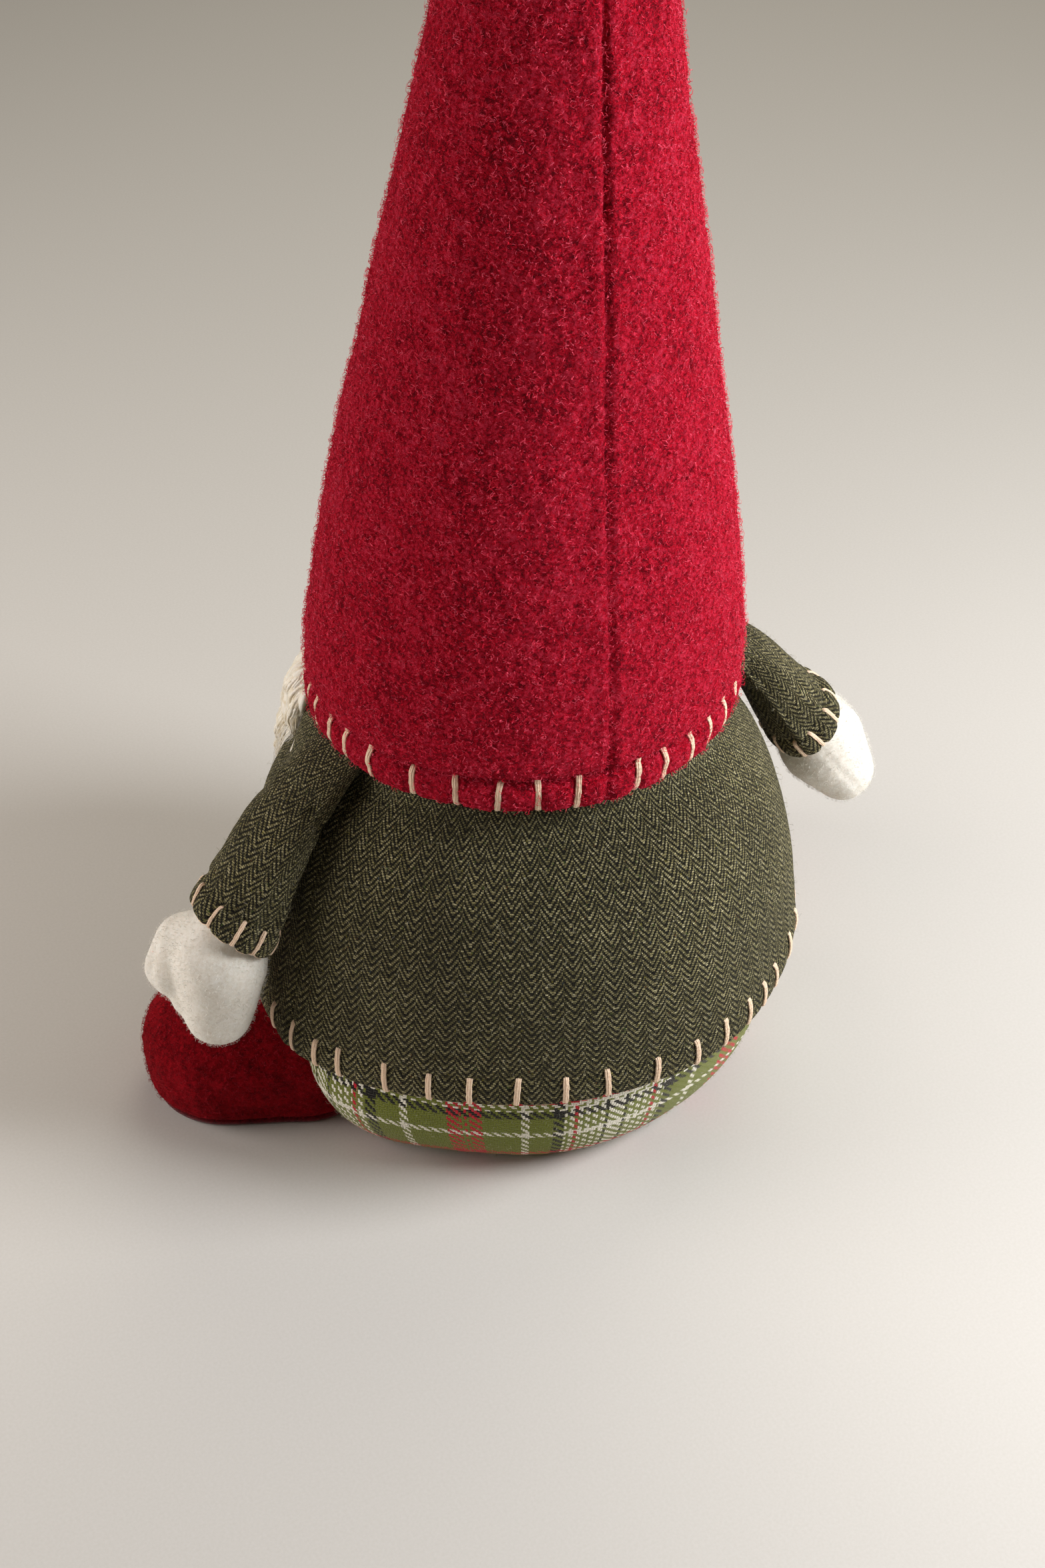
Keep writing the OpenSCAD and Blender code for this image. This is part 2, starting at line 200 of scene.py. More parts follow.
# tubes ----------------------------------------------------------------
class Tubes:
    """Many swept closed tubes gathered into one mesh."""
    def __init__(self): self.v, self.f, self.n, self.uv = [], [], 0, []
    def add(self, path, radius, sides=6, twist=0.0, flat=None, up=None):
        p = np.asarray(path, float); m = len(p)
        r = np.broadcast_to(np.asarray(radius, float), (m,))
        t = np.gradient(p, axis=0); t /= np.maximum(np.linalg.norm(t, axis=1, keepdims=True), 1e-9)
        u = np.array(up if up is not None else ([0, 0, 1] if abs(t[0][2]) < 0.9 else [1, 0, 0]), float)
        N = []
        for k in range(m):
            u = u - t[k] * (u @ t[k]); u = u / max(np.linalg.norm(u), 1e-9); N.append(u.copy())
        N = np.array(N); B = np.cross(t, N)
        a = np.arange(sides) / sides * 2 * np.pi
        fl = 1.0 if flat is None else flat
        ring = (np.cos(a)[None, :, None] * N[:, None] + fl * np.sin(a)[None, :, None] * B[:, None]) * r[:, None, None] + p[:, None]
        base = self.n
        self.v.append(ring.reshape(-1, 3)); self.v.append(p[:1]); self.v.append(p[-1:])
        k, s = np.meshgrid(np.arange(m - 1), np.arange(sides), indexing="ij"); s2 = (s + 1) % sides
        self.f += (base + np.stack([k * sides + s, k * sides + s2, (k + 1) * sides + s2, (k + 1) * sides + s], -1)).reshape(-1, 4).tolist()
        c0, c1 = base + m * sides, base + m * sides + 1
        for i in range(sides):
            j = (i + 1) % sides
            self.f.append([base + j, base + i, c0]); self.f.append([base + (m - 1) * sides + i, base + (m - 1) * sides + j, c1])
        L = np.concatenate([[0], np.cumsum(np.linalg.norm(np.diff(p, axis=0), axis=1))])
        uv = np.stack([np.broadcast_to(a[None] / (2 * np.pi), (m, sides)), np.broadcast_to(L[:, None], (m, sides))], -1).reshape(-1, 2)
        self.uv.append(uv * [1, MM]); self.uv.append([[0.5, 0]]); self.uv.append([[0.5, L[-1] * MM]])
        self.n += m * sides + 2
    def object(self, name, mats):
        return new_object(name, np.concatenate(self.v), self.f, np.concatenate(self.uv), mats)

def frame_of(path):
    p = np.asarray(path, float); t = np.gradient(p, axis=0); return t / np.maximum(np.linalg.norm(t, axis=1, keepdims=True), 1e-9)

def thread(T, path, out, width=1.55, strands=3, r=0.34, lift=0.0):
    """A flat bundle of strands along path (n, 3) mm; out (n, 3) points away from the cloth."""
    p = np.asarray(path, float); n = len(p)
    t = frame_of(p); o = np.asarray(out, float); o = o - t * (o * t).sum(1, keepdims=True); o /= np.maximum(np.linalg.norm(o, axis=1, keepdims=True), 1e-9)
    s = np.cross(t, o)
    for k in range(strands):
        c = (k - (strands - 1) / 2) / max(strands - 1, 1) * (width - 2 * r)
        wob = 0.06 * np.sin(np.arange(n) * 0.9 + k * 2.1 + p[0, 0])
        q = p + s * (c + wob)[:, None] + o * (r * 0.9 + lift + (0.12 if k == (strands // 2) else 0))
        e = np.ones(n); e[0] = 0.75; e[-1] = 0.75
        T.add(q, r * e, sides=7, up=o[0])

def curly(T, base, nrm, length, radius, curl, count_pts=4, r=None, lay=0.5):
    """Short curly fibres, all made at once. base, nrm (n, 3)."""
    r = r or rng
    n = len(base)
    rand = r.normal(size=(n, 3)); tan = rand - nrm * (rand * nrm).sum(1, keepdims=True); tan /= np.linalg.norm(tan, axis=1, keepdims=True)
    side = np.cross(nrm, tan)
    L = np.asarray(length, float) * np.ones(n); ph = r.uniform(0, 2 * np.pi, n); c = np.asarray(curl) * np.ones(n)
    steps = np.linspace(0, 1, count_pts)
    pts = []
    for s in steps:
        a = s * c
        h = (1 - lay) * s + lay * np.sin(np.pi * min(s, 1) * 0.8) * 0.55
        pts.append(base + nrm * (h * L)[:, None] + tan * (np.sin(a + 0.3) * L * 0.45 * (0.3 + s))[:, None] + side * (np.sin(a * 1.7 + ph) * L * 0.28 * s)[:, None])
    pts = np.stack(pts, 1)    # n, m, 3
    m = count_pts; sides = 3
    t = np.gradient(pts, axis=1); t /= np.maximum(np.linalg.norm(t, axis=2, keepdims=True), 1e-9)
    N = np.cross(t, nrm[:, None] + 0.01); N /= np.maximum(np.linalg.norm(N, axis=2, keepdims=True), 1e-9); B = np.cross(t, N)
    a = np.arange(sides) / sides * 2 * np.pi
    rad = (np.asarray(radius) * np.ones(n))[:, None] * (1 - 0.65 * steps)[None]
    ring = pts[:, :, None] + rad[:, :, None, None] * (np.cos(a)[None, None, :, None] * N[:, :, None] + np.sin(a)[None, None, :, None] * B[:, :, None])
    V = ring.reshape(n, -1, 3)
    k, s_ = np.meshgrid(np.arange(m - 1), np.arange(sides), indexing="ij"); s2 = (s_ + 1) % sides
    f4 = np.stack([k * sides + s_, k * sides + s2, (k + 1) * sides + s2, (k + 1) * sides + s_], -1).reshape(-1, 4)
    per = m * sides
    F = (T.n + (np.arange(n) * per)[:, None, None] + f4[None]).reshape(-1, 4)
    ends = np.array([[2, 1, 0], [(m - 1) * sides, (m - 1) * sides + 1, (m - 1) * sides + 2]])
    E = (T.n + (np.arange(n) * per)[:, None, None] + ends[None]).reshape(-1, 3)
    T.v.append(V.reshape(-1, 3)); T.f += F.tolist() + E.tolist(); T.n += n * per
    T.uv.append(np.zeros((n * per, 2)))

def scatter_on(P, N, weight, count, r):
    """Random points on a grid's cells: P, N (nu, nv, 3), weight (nu-1.., nv-1) per cell, u closed."""
    A = np.roll(P, -1, 0)
    e1 = (A - P)[:, :-1]; e2 = (P[:, 1:] - P[:, :-1])
    area = np.linalg.norm(np.cross(e1, e2), axis=-1) * weight
    p = area.reshape(-1) / area.sum()
    pick = r.choice(len(p), count, p=p); i, j = np.divmod(pick, P.shape[1] - 1)
    a, b = r.random(count)[:, None], r.random(count)[:, None]
    i2 = (i + 1) % P.shape[0]
    pos = P[i, j] * (1 - a) * (1 - b) + P[i2, j] * a * (1 - b) + P[i, j + 1] * (1 - a) * b + P[i2, j + 1] * a * b
    return pos, N[i, j], i, j

# ------------------------------------------------------------------ materials
def lin(r, g, b):
    c = np.array([r, g, b], float) / 255
    c = np.where(c <= 0.04045, c / 12.92, ((c + 0.055) / 1.055) ** 2.4)
    return (float(c[0]), float(c[1]), float(c[2]), 1.0)

class Mat:
    def __init__(self, name):
        self.m = bpy.data.materials.new(name); self.m.use_nodes = True; self.t = self.m.node_tree; self.t.nodes.clear()
        self.out = self.t.nodes.new("ShaderNodeOutputMaterial"); self.b = self.t.nodes.new("ShaderNodeBsdfPrincipled")
        self.t.links.new(self.b.outputs[0], self.out.inputs[0])
    def put(self, sock, v):
        if isinstance(v, bpy.types.NodeSocket): self.t.links.new(v, sock)
        else: sock.default_value = v
    def math(self, op, a, b=0.0, c=0.0, clamp=False):
        n = self.t.nodes.new("ShaderNodeMath"); n.operation = op; n.use_clamp = clamp
        for k, v in enumerate((a, b, c)):
            if k < len(n.inputs): self.put(n.inputs[k], v)
        return n.outputs[0]
    def vmath(self, op, a, b=None, scale=None):
        n = self.t.nodes.new("ShaderNodeVectorMath"); n.operation = op; self.put(n.inputs[0], a)
        if b is not None: self.put(n.inputs[1], b)
        if scale is not None: self.put(n.inputs[3], scale)
        return n.outputs[0]
    def obj(self):
        return self.vmath("SCALE", self.t.nodes.new("ShaderNodeTexCoord").outputs["Object"], scale=1000.0)
    def uv(self):
        n = self.t.nodes.new("ShaderNodeUVMap"); n.uv_map = "cloth"
        s = self.t.nodes.new("ShaderNodeSeparateXYZ"); self.t.links.new(self.vmath("SCALE", n.outputs[0], scale=1000.0), s.inputs[0])
        return s.outputs[0], s.outputs[1]
    def comb(self, x, y, z=0.0):
        n = self.t.nodes.new("ShaderNodeCombineXYZ")
        for k, v in enumerate((x, y, z)): self.put(n.inputs[k], v)
        return n.outputs[0]
    def noise(self, vec, size, detail=2.0, rough=0.5, dist=0.0, color=False):
        n = self.t.nodes.new("ShaderNodeTexNoise"); self.t.links.new(vec, n.inputs["Vector"])
        n.inputs["Scale"].default_value = 1.0 / size; n.inputs["Detail"].default_value = detail; n.inputs["Roughness"].default_value = rough; n.inputs["Distortion"].default_value = dist
        return n.outputs["Color" if color else "Fac"]
    def vor(self, vec, size, out="Distance", feature="F1", rand=1.0):
        n = self.t.nodes.new("ShaderNodeTexVoronoi"); n.feature = feature; self.t.links.new(vec, n.inputs["Vector"])
        n.inputs["Scale"].default_value = 1.0 / size; n.inputs["Randomness"].default_value = rand
        return n.outputs[out]
    def white(self, vec, out="Value"):
        n = self.t.nodes.new("ShaderNodeTexWhiteNoise"); self.t.links.new(vec, n.inputs["Vector"]); return n.outputs[out]
    def mix(self, f, a, b, mode="MIX"):
        n = self.t.nodes.new("ShaderNodeMix"); n.data_type = "RGBA"; n.blend_type = mode
        self.put(n.inputs["Factor"], f); cs = [s for s in n.inputs if s.type == "RGBA"]; self.put(cs[0], a); self.put(cs[1], b)
        return [s for s in n.outputs if s.type == "RGBA"][0]
    def ramp(self, fac, stops, interp="LINEAR"):
        n = self.t.nodes.new("ShaderNodeValToRGB"); self.put(n.inputs[0], fac); cr = n.color_ramp; cr.interpolation = interp
        while len(cr.elements) > 1: cr.elements.remove(cr.elements[-1])
        cr.elements[0].position = stops[0][0]; cr.elements[0].color = stops[0][1]
        for p, c in stops[1:]:
            e = cr.elements.new(p); e.color = c
        return n.outputs[0]
    def map(self, x, a, b, c=0.0, d=1.0):
        n = self.t.nodes.new("ShaderNodeMapRange"); n.clamp = True; n.interpolation_type = "SMOOTHSTEP"
        for k, v in zip(("Value", "From Min", "From Max", "To Min", "To Max"), (x, a, b, c, d)): self.put(n.inputs[k], v)
        return n.outputs[0]
    def bump(self, h, strength, dist_mm, normal=None):
        n = self.t.nodes.new("ShaderNodeBump"); n.inputs["Strength"].default_value = strength; n.inputs["Distance"].default_value = dist_mm * MM
        self.put(n.inputs["Height"], h)
        if normal is not None: self.put(n.inputs["Normal"], normal)
        return n.outputs[0]
    def done(self, color, normal=None, rough=0.85, sheen=0.0, sheen_rough=0.4, tint=(1, 1, 1, 1), spec=0.25, sss=0.0, sss_mm=2.0):
        self.put(self.b.inputs["Base Color"], color); self.put(self.b.inputs["Roughness"], rough)
        if normal is not None: self.put(self.b.inputs["Normal"], normal)
        self.b.inputs["Specular IOR Level"].default_value = spec
        self.b.inputs["Sheen Weight"].default_value = sheen; self.b.inputs["Sheen Roughness"].default_value = sheen_rough; self.b.inputs["Sheen Tint"].default_value = tint
        if sss > 0:
            self.b.inputs["Subsurface Weight"].default_value = sss; self.b.inputs["Subsurface Radius"].default_value = (1.0, 0.8, 0.7); self.b.inputs["Subsurface Scale"].default_value = sss_mm * MM
        return self.m

def weave(M, u, v, pu, pv, cols=0):
    """2/2 twill. Returns warp-on-top, height, and thread numbers i and j."""
    iu = M.math("DIVIDE", u, pu); iv = M.math("DIVIDE", v, pv)
    i = M.math("FLOOR", iu); j = M.math("FLOOR", iv)
    fu = M.math("SUBTRACT", iu, i); fv = M.math("SUBTRACT", iv, j)
    if cols:
        c = M.math("FLOORED_MODULO", M.math("FLOOR", M.math("DIVIDE", i, float(cols))), 2.0)
        s = M.math("SUBTRACT", 1.0, M.math("MULTIPLY", c, 2.0))
        ii = M.math("ADD", M.math("MULTIPLY", i, s), M.math("MULTIPLY", c, 1.0))
    else:
        ii = i
    q = M.math("FLOORED_MODULO", M.math("ADD", j, ii), 4.0)
    up = M.math("LESS_THAN", q, 1.5)
    hw = M.math("SINE", M.math("MULTIPLY", fu, math.pi)); hf = M.math("SINE", M.math("MULTIPLY", fv, math.pi))
    along = M.math("MULTIPLY", M.math("ADD", M.math("FLOORED_MODULO", q, 2.0), fv), 0.5)
    endw = M.math("SINE", M.math("MULTIPLY", along, math.pi))
    h1 = M.math("MULTIPLY", M.math("POWER", hw, 0.6), M.math("ADD", 0.55, M.math("MULTIPLY", endw, 0.45)))
    h2 = M.math("MULTIPLY", M.math("POWER", hf, 0.6), 0.92)
    h = M.math("ADD", M.math("MULTIPLY", h1, up), M.math("MULTIPLY", h2, M.math("SUBTRACT", 1.0, up)))
    return up, h, i, j

def jitter_uv(M, u, v, amp, size):
    vec = M.comb(u, v, 3.7)
    n = M.noise(vec, size, 2.0, 0.5, color=True)
    s = M.t.nodes.new("ShaderNodeSeparateColor"); M.t.links.new(n, s.inputs[0])
    return (M.math("ADD", u, M.math("MULTIPLY", M.math("SUBTRACT", s.outputs[0], 0.5), amp)),
            M.math("ADD", v, M.math("MULTIPLY", M.math("SUBTRACT", s.outputs[1], 0.5), amp)))

def tweed_material():
    M = Mat("tweed_cloth"); u0, v0 = M.uv(); u, v = jitter_uv(M, u0, v0, 0.55, 2.4); u, v = jitter_uv(M, u, v, 0.22, 0.7)
    up, h, i, j = weave(M, u, v, 0.42, 0.60, 7)
    # heathered yarn: each float takes its own shade
    cell = M.white(M.comb(i, j, 3.0)); cell2 = M.white(M.comb(M.math("FLOOR", M.math("MULTIPLY", i, 0.5)), j, 8.0))
    grain = M.noise(M.comb(M.math("MULTIPLY", u, 1.25), v, 0.0), 0.27, 3.0, 0.85)
    fd = M.math("ADD", M.math("MULTIPLY", cell, 0.42), M.math("MULTIPLY", M.map(grain, 0.3, 0.7), 0.62))
    dark = M.ramp(fd, [(0.25, lin(3, 3, 2)), (0.60, lin(9, 8, 4)), (0.82, lin(32, 29, 17)), (0.97, lin(110, 102, 72))])
    fl = M.math("ADD", M.math("MULTIPLY", cell2, 0.42), M.math("MULTIPLY", M.map(grain, 0.3, 0.7), 0.62))
    light = M.ramp(fl, [(0.18, lin(30, 27, 15)), (0.34, lin(82, 77, 46)), (0.52, lin(130, 122, 80)), (0.74, lin(178, 168, 120)), (0.95, lin(232, 224, 192))])
    col = M.mix(up, light, dark)
    # flecks of other fibres
    vec = M.comb(u, M.math("MULTIPLY", v, 0.7), 2.0)
    spot = M.vor(vec, 0.95, "Color"); s = M.t.nodes.new("ShaderNodeSeparateColor"); M.t.links.new(spot, s.inputs[0])
    d = M.vor(vec, 0.95, "Distance")
    pick = M.math("MULTIPLY", M.math("GREATER_THAN", s.outputs[0], 0.83), M.map(d, 0.36, 0.2))
    fle = M.ramp(s.outputs[1], [(0.0, lin(112, 78, 40)), (0.3, lin(148, 138, 50)), (0.5, lin(92, 118, 50)), (0.7, lin(198, 190, 156)), (0.88, lin(72, 88, 98))], "CONSTANT")
    col = M.mix(M.math("MULTIPLY", pick, 0.55), col, fle)
    shade = M.map(h, 0.1, 0.8, 0.22, 1.05)
    col = M.mix(1.0, col, M.comb(shade, shade, shade), "MULTIPLY")
    heath = M.map(M.noise(M.comb(M.math("MULTIPLY", u, 1.3), v, 12.0), 0.8, 3.0, 0.75), 0.28, 0.72, 0.40, 1.38)
    col = M.mix(1.0, col, M.comb(heath, heath, heath), "MULTIPLY")
    big = M.map(M.noise(M.comb(u0, v0, 9.0), 22.0, 2.0), 0.3, 0.7, 0.82, 1.08)
    col = M.mix(1.0, col, M.comb(big, big, big), "MULTIPLY")
    fuzz = M.noise(M.comb(u, v, 5.0), 0.26, 3.0, 0.7, 0.4)
    hh = M.math("ADD", h, M.math("MULTIPLY", fuzz, 0.9))
    return M.done(col, M.bump(hh, 1.0, 0.4), 0.9, sheen=0.2, sheen_rough=0.5, tint=lin(190, 185, 160), spec=0.15)

def sett_color(M, x, thread):
    """Tartan colour across the set, from the axis of the red bars (0) to the axis of the cream line (47)."""
    d = M.math("PINGPONG", x, 47.0)
    olive, cream, black, red = lin(116, 124, 40), lin(248, 243, 228), lin(10, 10, 14), lin(206, 22, 48)
    mid = M.mix(M.math("GREATER_THAN", M.math("FLOORED_MODULO", thread, 3.0), 0.5), lin(126, 134, 62), cream)
    mark = M.ramp(M.math("DIVIDE", d, 47.0), [(0.0, olive), (1.3 / 47, red), (5.2 / 47, olive), (17.1 / 47, cream), (19.5 / 47, olive), (26.9 / 47, black), (30.7 / 47, cream),
        (33.4 / 47, red), (34.7 / 47, cream), (43.2 / 47, black), (44.4 / 47, cream)], "CONSTANT")
    zone = M.math("MULTIPLY", M.math("GREATER_THAN", d, 30.4), M.math("LESS_THAN", d, 45.2))
    plain = M.math("MULTIPLY", zone, M.math("SUBTRACT", 1.0, M.math("MULTIPLY", M.math("GREATER_THAN", d, 33.4), M.math("LESS_THAN", d, 34.7))))
    plain = M.math("MULTIPLY", plain, M.math("SUBTRACT", 1.0, M.math("MULTIPLY", M.math("GREATER_THAN", d, 43.2), M.math("LESS_THAN", d, 44.4))))
    gap = M.math("LESS_THAN", d, 1.3)
    c = M.mix(plain, mark, mid)
    return M.mix(M.math("MULTIPLY", gap, M.math("LESS_THAN", M.math("FLOORED_MODULO", thread, 2.0), 0.5)), c, red)

def tartan_material():
    M = Mat("tartan_flannel_cloth"); u0, v0 = M.uv(); u, v = jitter_uv(M, u0, v0, 0.9, 0.8)
    up, h, i, j = weave(M, u, v, 0.80, 0.80)
    cu = sett_color(M, u, i); cv = sett_color(M, v, j)
    col = M.mix(up, cv, cu)
    nap = M.noise(M.comb(u, v, 1.0), 0.45, 3.0, 0.7, 0.5)
    both = M.mix(0.5, cv, cu); col = M.mix(M.map(nap, 0.5, 0.8, 0.0, 0.28), col, both)
    tone = M.map(M.noise(M.comb(M.math("MULTIPLY", u, 2.2), v, 4.0), 0.8, 3.0, 0.6), 0.25, 0.75, 0.76, 1.14)
    # sh darkens the colour in the hollows of the weave (painted shade) and multiplies in a random tone
    sh = M.math("MULTIPLY", M.map(h, 0.0, 0.8, 0.5, 1.06), tone)
    col = M.mix(1.0, col, M.comb(sh, sh, sh), "MULTIPLY")
    hh = M.math("ADD", h, M.math("MULTIPLY", nap, 0.8))
    return M.done(col, M.bump(hh, 0.7, 0.3), 0.92, sheen=0.3, sheen_rough=0.5, tint=lin(230, 225, 210), spec=0.12)

def felt_material(name, hollow_shade, base, light, curl=1.0, size=1.0, sheen=0.55, tint=(1, 1, 1, 1), bump=1.0, sss=0.0, patch=0.25, contrast=1.0):
    """Boiled wool or felt: clumps of curls, tangled fibre lines and a soft sheen. The colour carries painted shade in
    the hollows and painted highlight on the clump tops and fibre lines.
    """
    M = Mat(name); P = M.obj()
    warp = M.vmath("ADD", P, M.vmath("SCALE", M.noise(P, 1.5 * size, 2.0, 0.6, color=True), scale=1.8 * size))
    a = M.noise(warp, 1.5 * size, 3.0, 0.65)
    b = M.noise(warp, 0.6 * size, 3.0, 0.7, 0.6)
    # curly fibre lines are narrow bands round the middle of a noise
    l1 = M.math("ABSOLUTE", M.math("SUBTRACT", M.noise(warp, 0.95 * size, 1.0, 0.5, 1.2), 0.5))
    l2 = M.math("ABSOLUTE", M.math("SUBTRACT", M.noise(M.vmath("ADD", warp, (31.0, 17.0, 5.0)), 0.62 * size, 1.0, 0.5, 1.5), 0.5))
    line = M.math("MAXIMUM", M.map(l1, 0.045, 0.0), M.map(l2, 0.04, 0.0))
    big = M.noise(P, 15.0, 3.0, 0.55); mid = M.noise(P, 4.5, 3.0, 0.6)
    f = M.math("ADD", M.math("MULTIPLY", a, 0.6), M.math("MULTIPLY", b, 0.4))
    f = M.math("ADD", f, M.math("MULTIPLY", M.math("SUBTRACT", mid, 0.5), 0.22)); f = M.math("ADD", f, M.math("MULTIPLY", M.math("SUBTRACT", big, 0.5), patch))
    w = 0.13 / contrast
    # the colour follows the same noises as the bump height: hollow_shade in the low hollows is painted shade, light on
    # the high tops is painted highlight, and the mid and big noises add random mottling
    col = M.ramp(f, [(0.5 - w, hollow_shade), (0.5, base), (0.5 + w, light)])
    # the tangled fibre lines are a real pattern, painted in the light colour as a painted highlight
    col = M.mix(M.math("MULTIPLY", line, 0.34 * curl), col, light)
    h = M.math("ADD", M.math("MULTIPLY", a, 1.1), M.math("ADD", M.math("MULTIPLY", b, 0.7), M.math("MULTIPLY", line, 0.2)))
    fine = M.noise(warp, 0.24 * size, 2.0, 0.6)
    n = M.bump(h, 1.0 * bump, 1.5 * size); n = M.bump(fine, 0.4 * bump, 0.3 * size, n)
    return M.done(col, n, 0.95, sheen=sheen, sheen_rough=0.42, tint=tint, spec=0.08, sss=sss)

def fibre_material(name, a, b, sheen=0.4, rough=0.7, spec=0.2, tint=(1, 1, 1, 1)):
    M = Mat(name); P = M.obj()
    col = M.mix(M.map(M.noise(P, 1.7, 2.0), 0.35, 0.65), a, b)
    return M.done(col, M.bump(M.noise(P, 0.2, 2.0), 0.3, 0.1), rough, sheen=sheen, tint=tint, spec=spec)

def thread_material():
    M = Mat("embroidery_thread"); u, v = M.uv()
    ang = M.t.nodes.new("ShaderNodeUVMap"); ang.uv_map = "cloth"; s = M.t.nodes.new("ShaderNodeSeparateXYZ"); M.t.links.new(ang.outputs[0], s.inputs[0])
    ply = M.math("SINE", M.math("ADD", M.math("MULTIPLY", s.outputs[0], 4 * math.pi), M.math("MULTIPLY", v, 5.0)))
    P = M.obj(); fuzz = M.noise(P, 0.25, 3.0, 0.7)
    # the ply term makes the thread a little darker in its twist grooves: painted shade; the fuzz term is random tone
    col = M.ramp(M.math("ADD", M.math("MULTIPLY", ply, 0.05), M.math("MULTIPLY", fuzz, 0.9)), [(0.2, lin(220, 182, 148)), (0.45, lin(247, 217, 188)), (0.7, lin(255, 237, 216))])
    return M.done(col, M.bump(M.math("ADD", ply, M.math("MULTIPLY", fuzz, 0.8)), 0.4, 0.08), 0.62, sheen=0.35, sheen_rough=0.4, tint=lin(255, 235, 215), spec=0.35)

def beard_material():
    M = Mat("wool_locks"); u, v = M.uv()
    P = M.comb(M.math("MULTIPLY", u, 1.0), M.math("MULTIPLY", v, 0.10), 0.0)
    st = M.noise(P, 0.55, 4.0, 0.7, 0.8); st2 = M.noise(P, 2.0, 3.0, 0.6, 1.0); O = M.obj(); big = M.noise(O, 12.0, 3.0)
    f = M.math("ADD", M.math("MULTIPLY", st, 0.5), M.math("ADD", M.math("MULTIPLY", st2, 0.3), M.math("MULTIPLY", big, 0.2)))
    col = M.ramp(f, [(0.30, lin(238, 225, 200)), (0.46, lin(250, 242, 224)), (0.62, lin(255, 252, 243))])
    n = M.bump(st2, 0.4, 0.6); n = M.bump(st, 0.5, 0.35, n)
    return M.done(col, n, 0.85, sheen=0.5, sheen_rough=0.45, tint=lin(255, 250, 238), spec=0.15, sss=0.3, sss_mm=2.0)

def knit_material():
    M = Mat("nose_knit_cloth"); u, v = M.uv(); u, v = jitter_uv(M, u, v, 0.2, 2.0)
    w = 1.15; iu = M.math("DIVIDE", u, w); i = M.math("FLOOR", iu); f = M.math("ABSOLUTE", M.math("SUBTRACT", M.math("SUBTRACT", iu, i), 0.5))
    ph = M.math("ADD", M.math("DIVIDE", v, 0.85), M.math("MULTIPLY", f, 1.5)); r = M.math("ABSOLUTE", M.math("SINE", M.math("MULTIPLY", ph, math.pi)))
    arm = M.math("SINE", M.math("MULTIPLY", f, 2 * math.pi))
    h = M.math("MULTIPLY", M.math("POWER", r, 0.7), M.math("ADD", 0.25, M.math("MULTIPLY", arm, 0.75)))
    O = M.obj(); fz = M.noise(O, 0.35, 3.0, 0.7); big = M.noise(O, 7.0, 2.0)
    # the colour follows the loop height h: darker between the loops as painted shade, with random fuzz and large-scale
    # tone
    col = M.ramp(M.math("ADD", M.math("MULTIPLY", h, 0.45), M.math("ADD", M.math("MULTIPLY", fz, 0.35), M.math("MULTIPLY", big, 0.25))), [(0.15, lin(170, 122, 98)), (0.5, lin(224, 182, 156)), (0.85, lin(240, 208, 184))])
    return M.done(col, M.bump(M.math("ADD", h, M.math("MULTIPLY", fz, 0.5)), 0.7, 0.35), 0.85, sheen=0.35, tint=lin(255, 225, 205), spec=0.2)

def plain_material(name, a, b, size=0.7, stretch=(1, 1, 1), rough=0.9, bump=0.5, sheen=0.1):
    M = Mat(name); P = M.vmath("MULTIPLY", M.obj(), stretch); n = M.noise(P, size, 4.0, 0.65, 0.3); g = M.noise(P, size * 9, 2.0)
    col = M.ramp(M.math("ADD", M.math("MULTIPLY", n, 0.7), M.math("MULTIPLY", g, 0.3)), [(0.35, a), (0.65, b)])
    return M.done(col, M.bump(n, bump, 0.3), rough, sheen=sheen, spec=0.2)

tweed = tweed_material()
tartan = tartan_material()
# each felt's first colour is painted shade for its hollows, and its third colour is painted highlight for its tops and
# fibre lines
hat_felt = felt_material("red_boiled_wool", lin(104, 0, 10), lin(232, 1, 38), lin(255, 60, 92), curl=1.7, size=0.8, sheen=0.5, tint=lin(255, 52, 82), bump=1.2, patch=0.14, contrast=1.4)
shoe_felt = felt_material("crimson_felt", lin(74, 0, 6), lin(126, 2, 14), lin(160, 14, 28), curl=0.8, size=0.8, sheen=0.35, tint=lin(230, 40, 54), bump=0.6)
sole_felt = felt_material("sole_felt_cloth", lin(62, 4, 10), lin(98, 8, 18), lin(124, 22, 34), curl=0.6, size=0.6, sheen=0.25, bump=0.4)
mitten_felt = felt_material("white_felt_cloth", lin(222, 215, 202), lin(234, 229, 219), lin(242, 239, 232), curl=0.9, size=0.7, sheen=0.35, tint=lin(255, 250, 240), bump=0.13, sss=0.3, patch=0.16)
beard_wool = beard_material()
knit = knit_material()
thread_mat = thread_material()
# the hat's fibres are coloured paler pink than the felt: painted highlight of fibres catching the light
hat_fibre_highlit = fibre_material("red_fibre", lin(236, 12, 50), lin(255, 96, 124), sheen=0.5, tint=lin(255, 70, 98))
shoe_fibre = fibre_material("crimson_fibre", lin(124, 6, 20), lin(170, 26, 44), tint=lin(220, 40, 60))
white_fibre = fibre_material("white_fibre", lin(240, 235, 224), lin(253, 251, 246))
cream_fibre = fibre_material("cream_fibre", lin(240, 229, 206), lin(255, 250, 238), sheen=0.5, tint=lin(255, 250, 238))
tartan_fibre = fibre_material("tartan_fibre", lin(112, 116, 62), lin(206, 202, 178))
tweed_fibre = fibre_material("tweed_fibre", lin(120, 114, 84), lin(214, 206, 176))

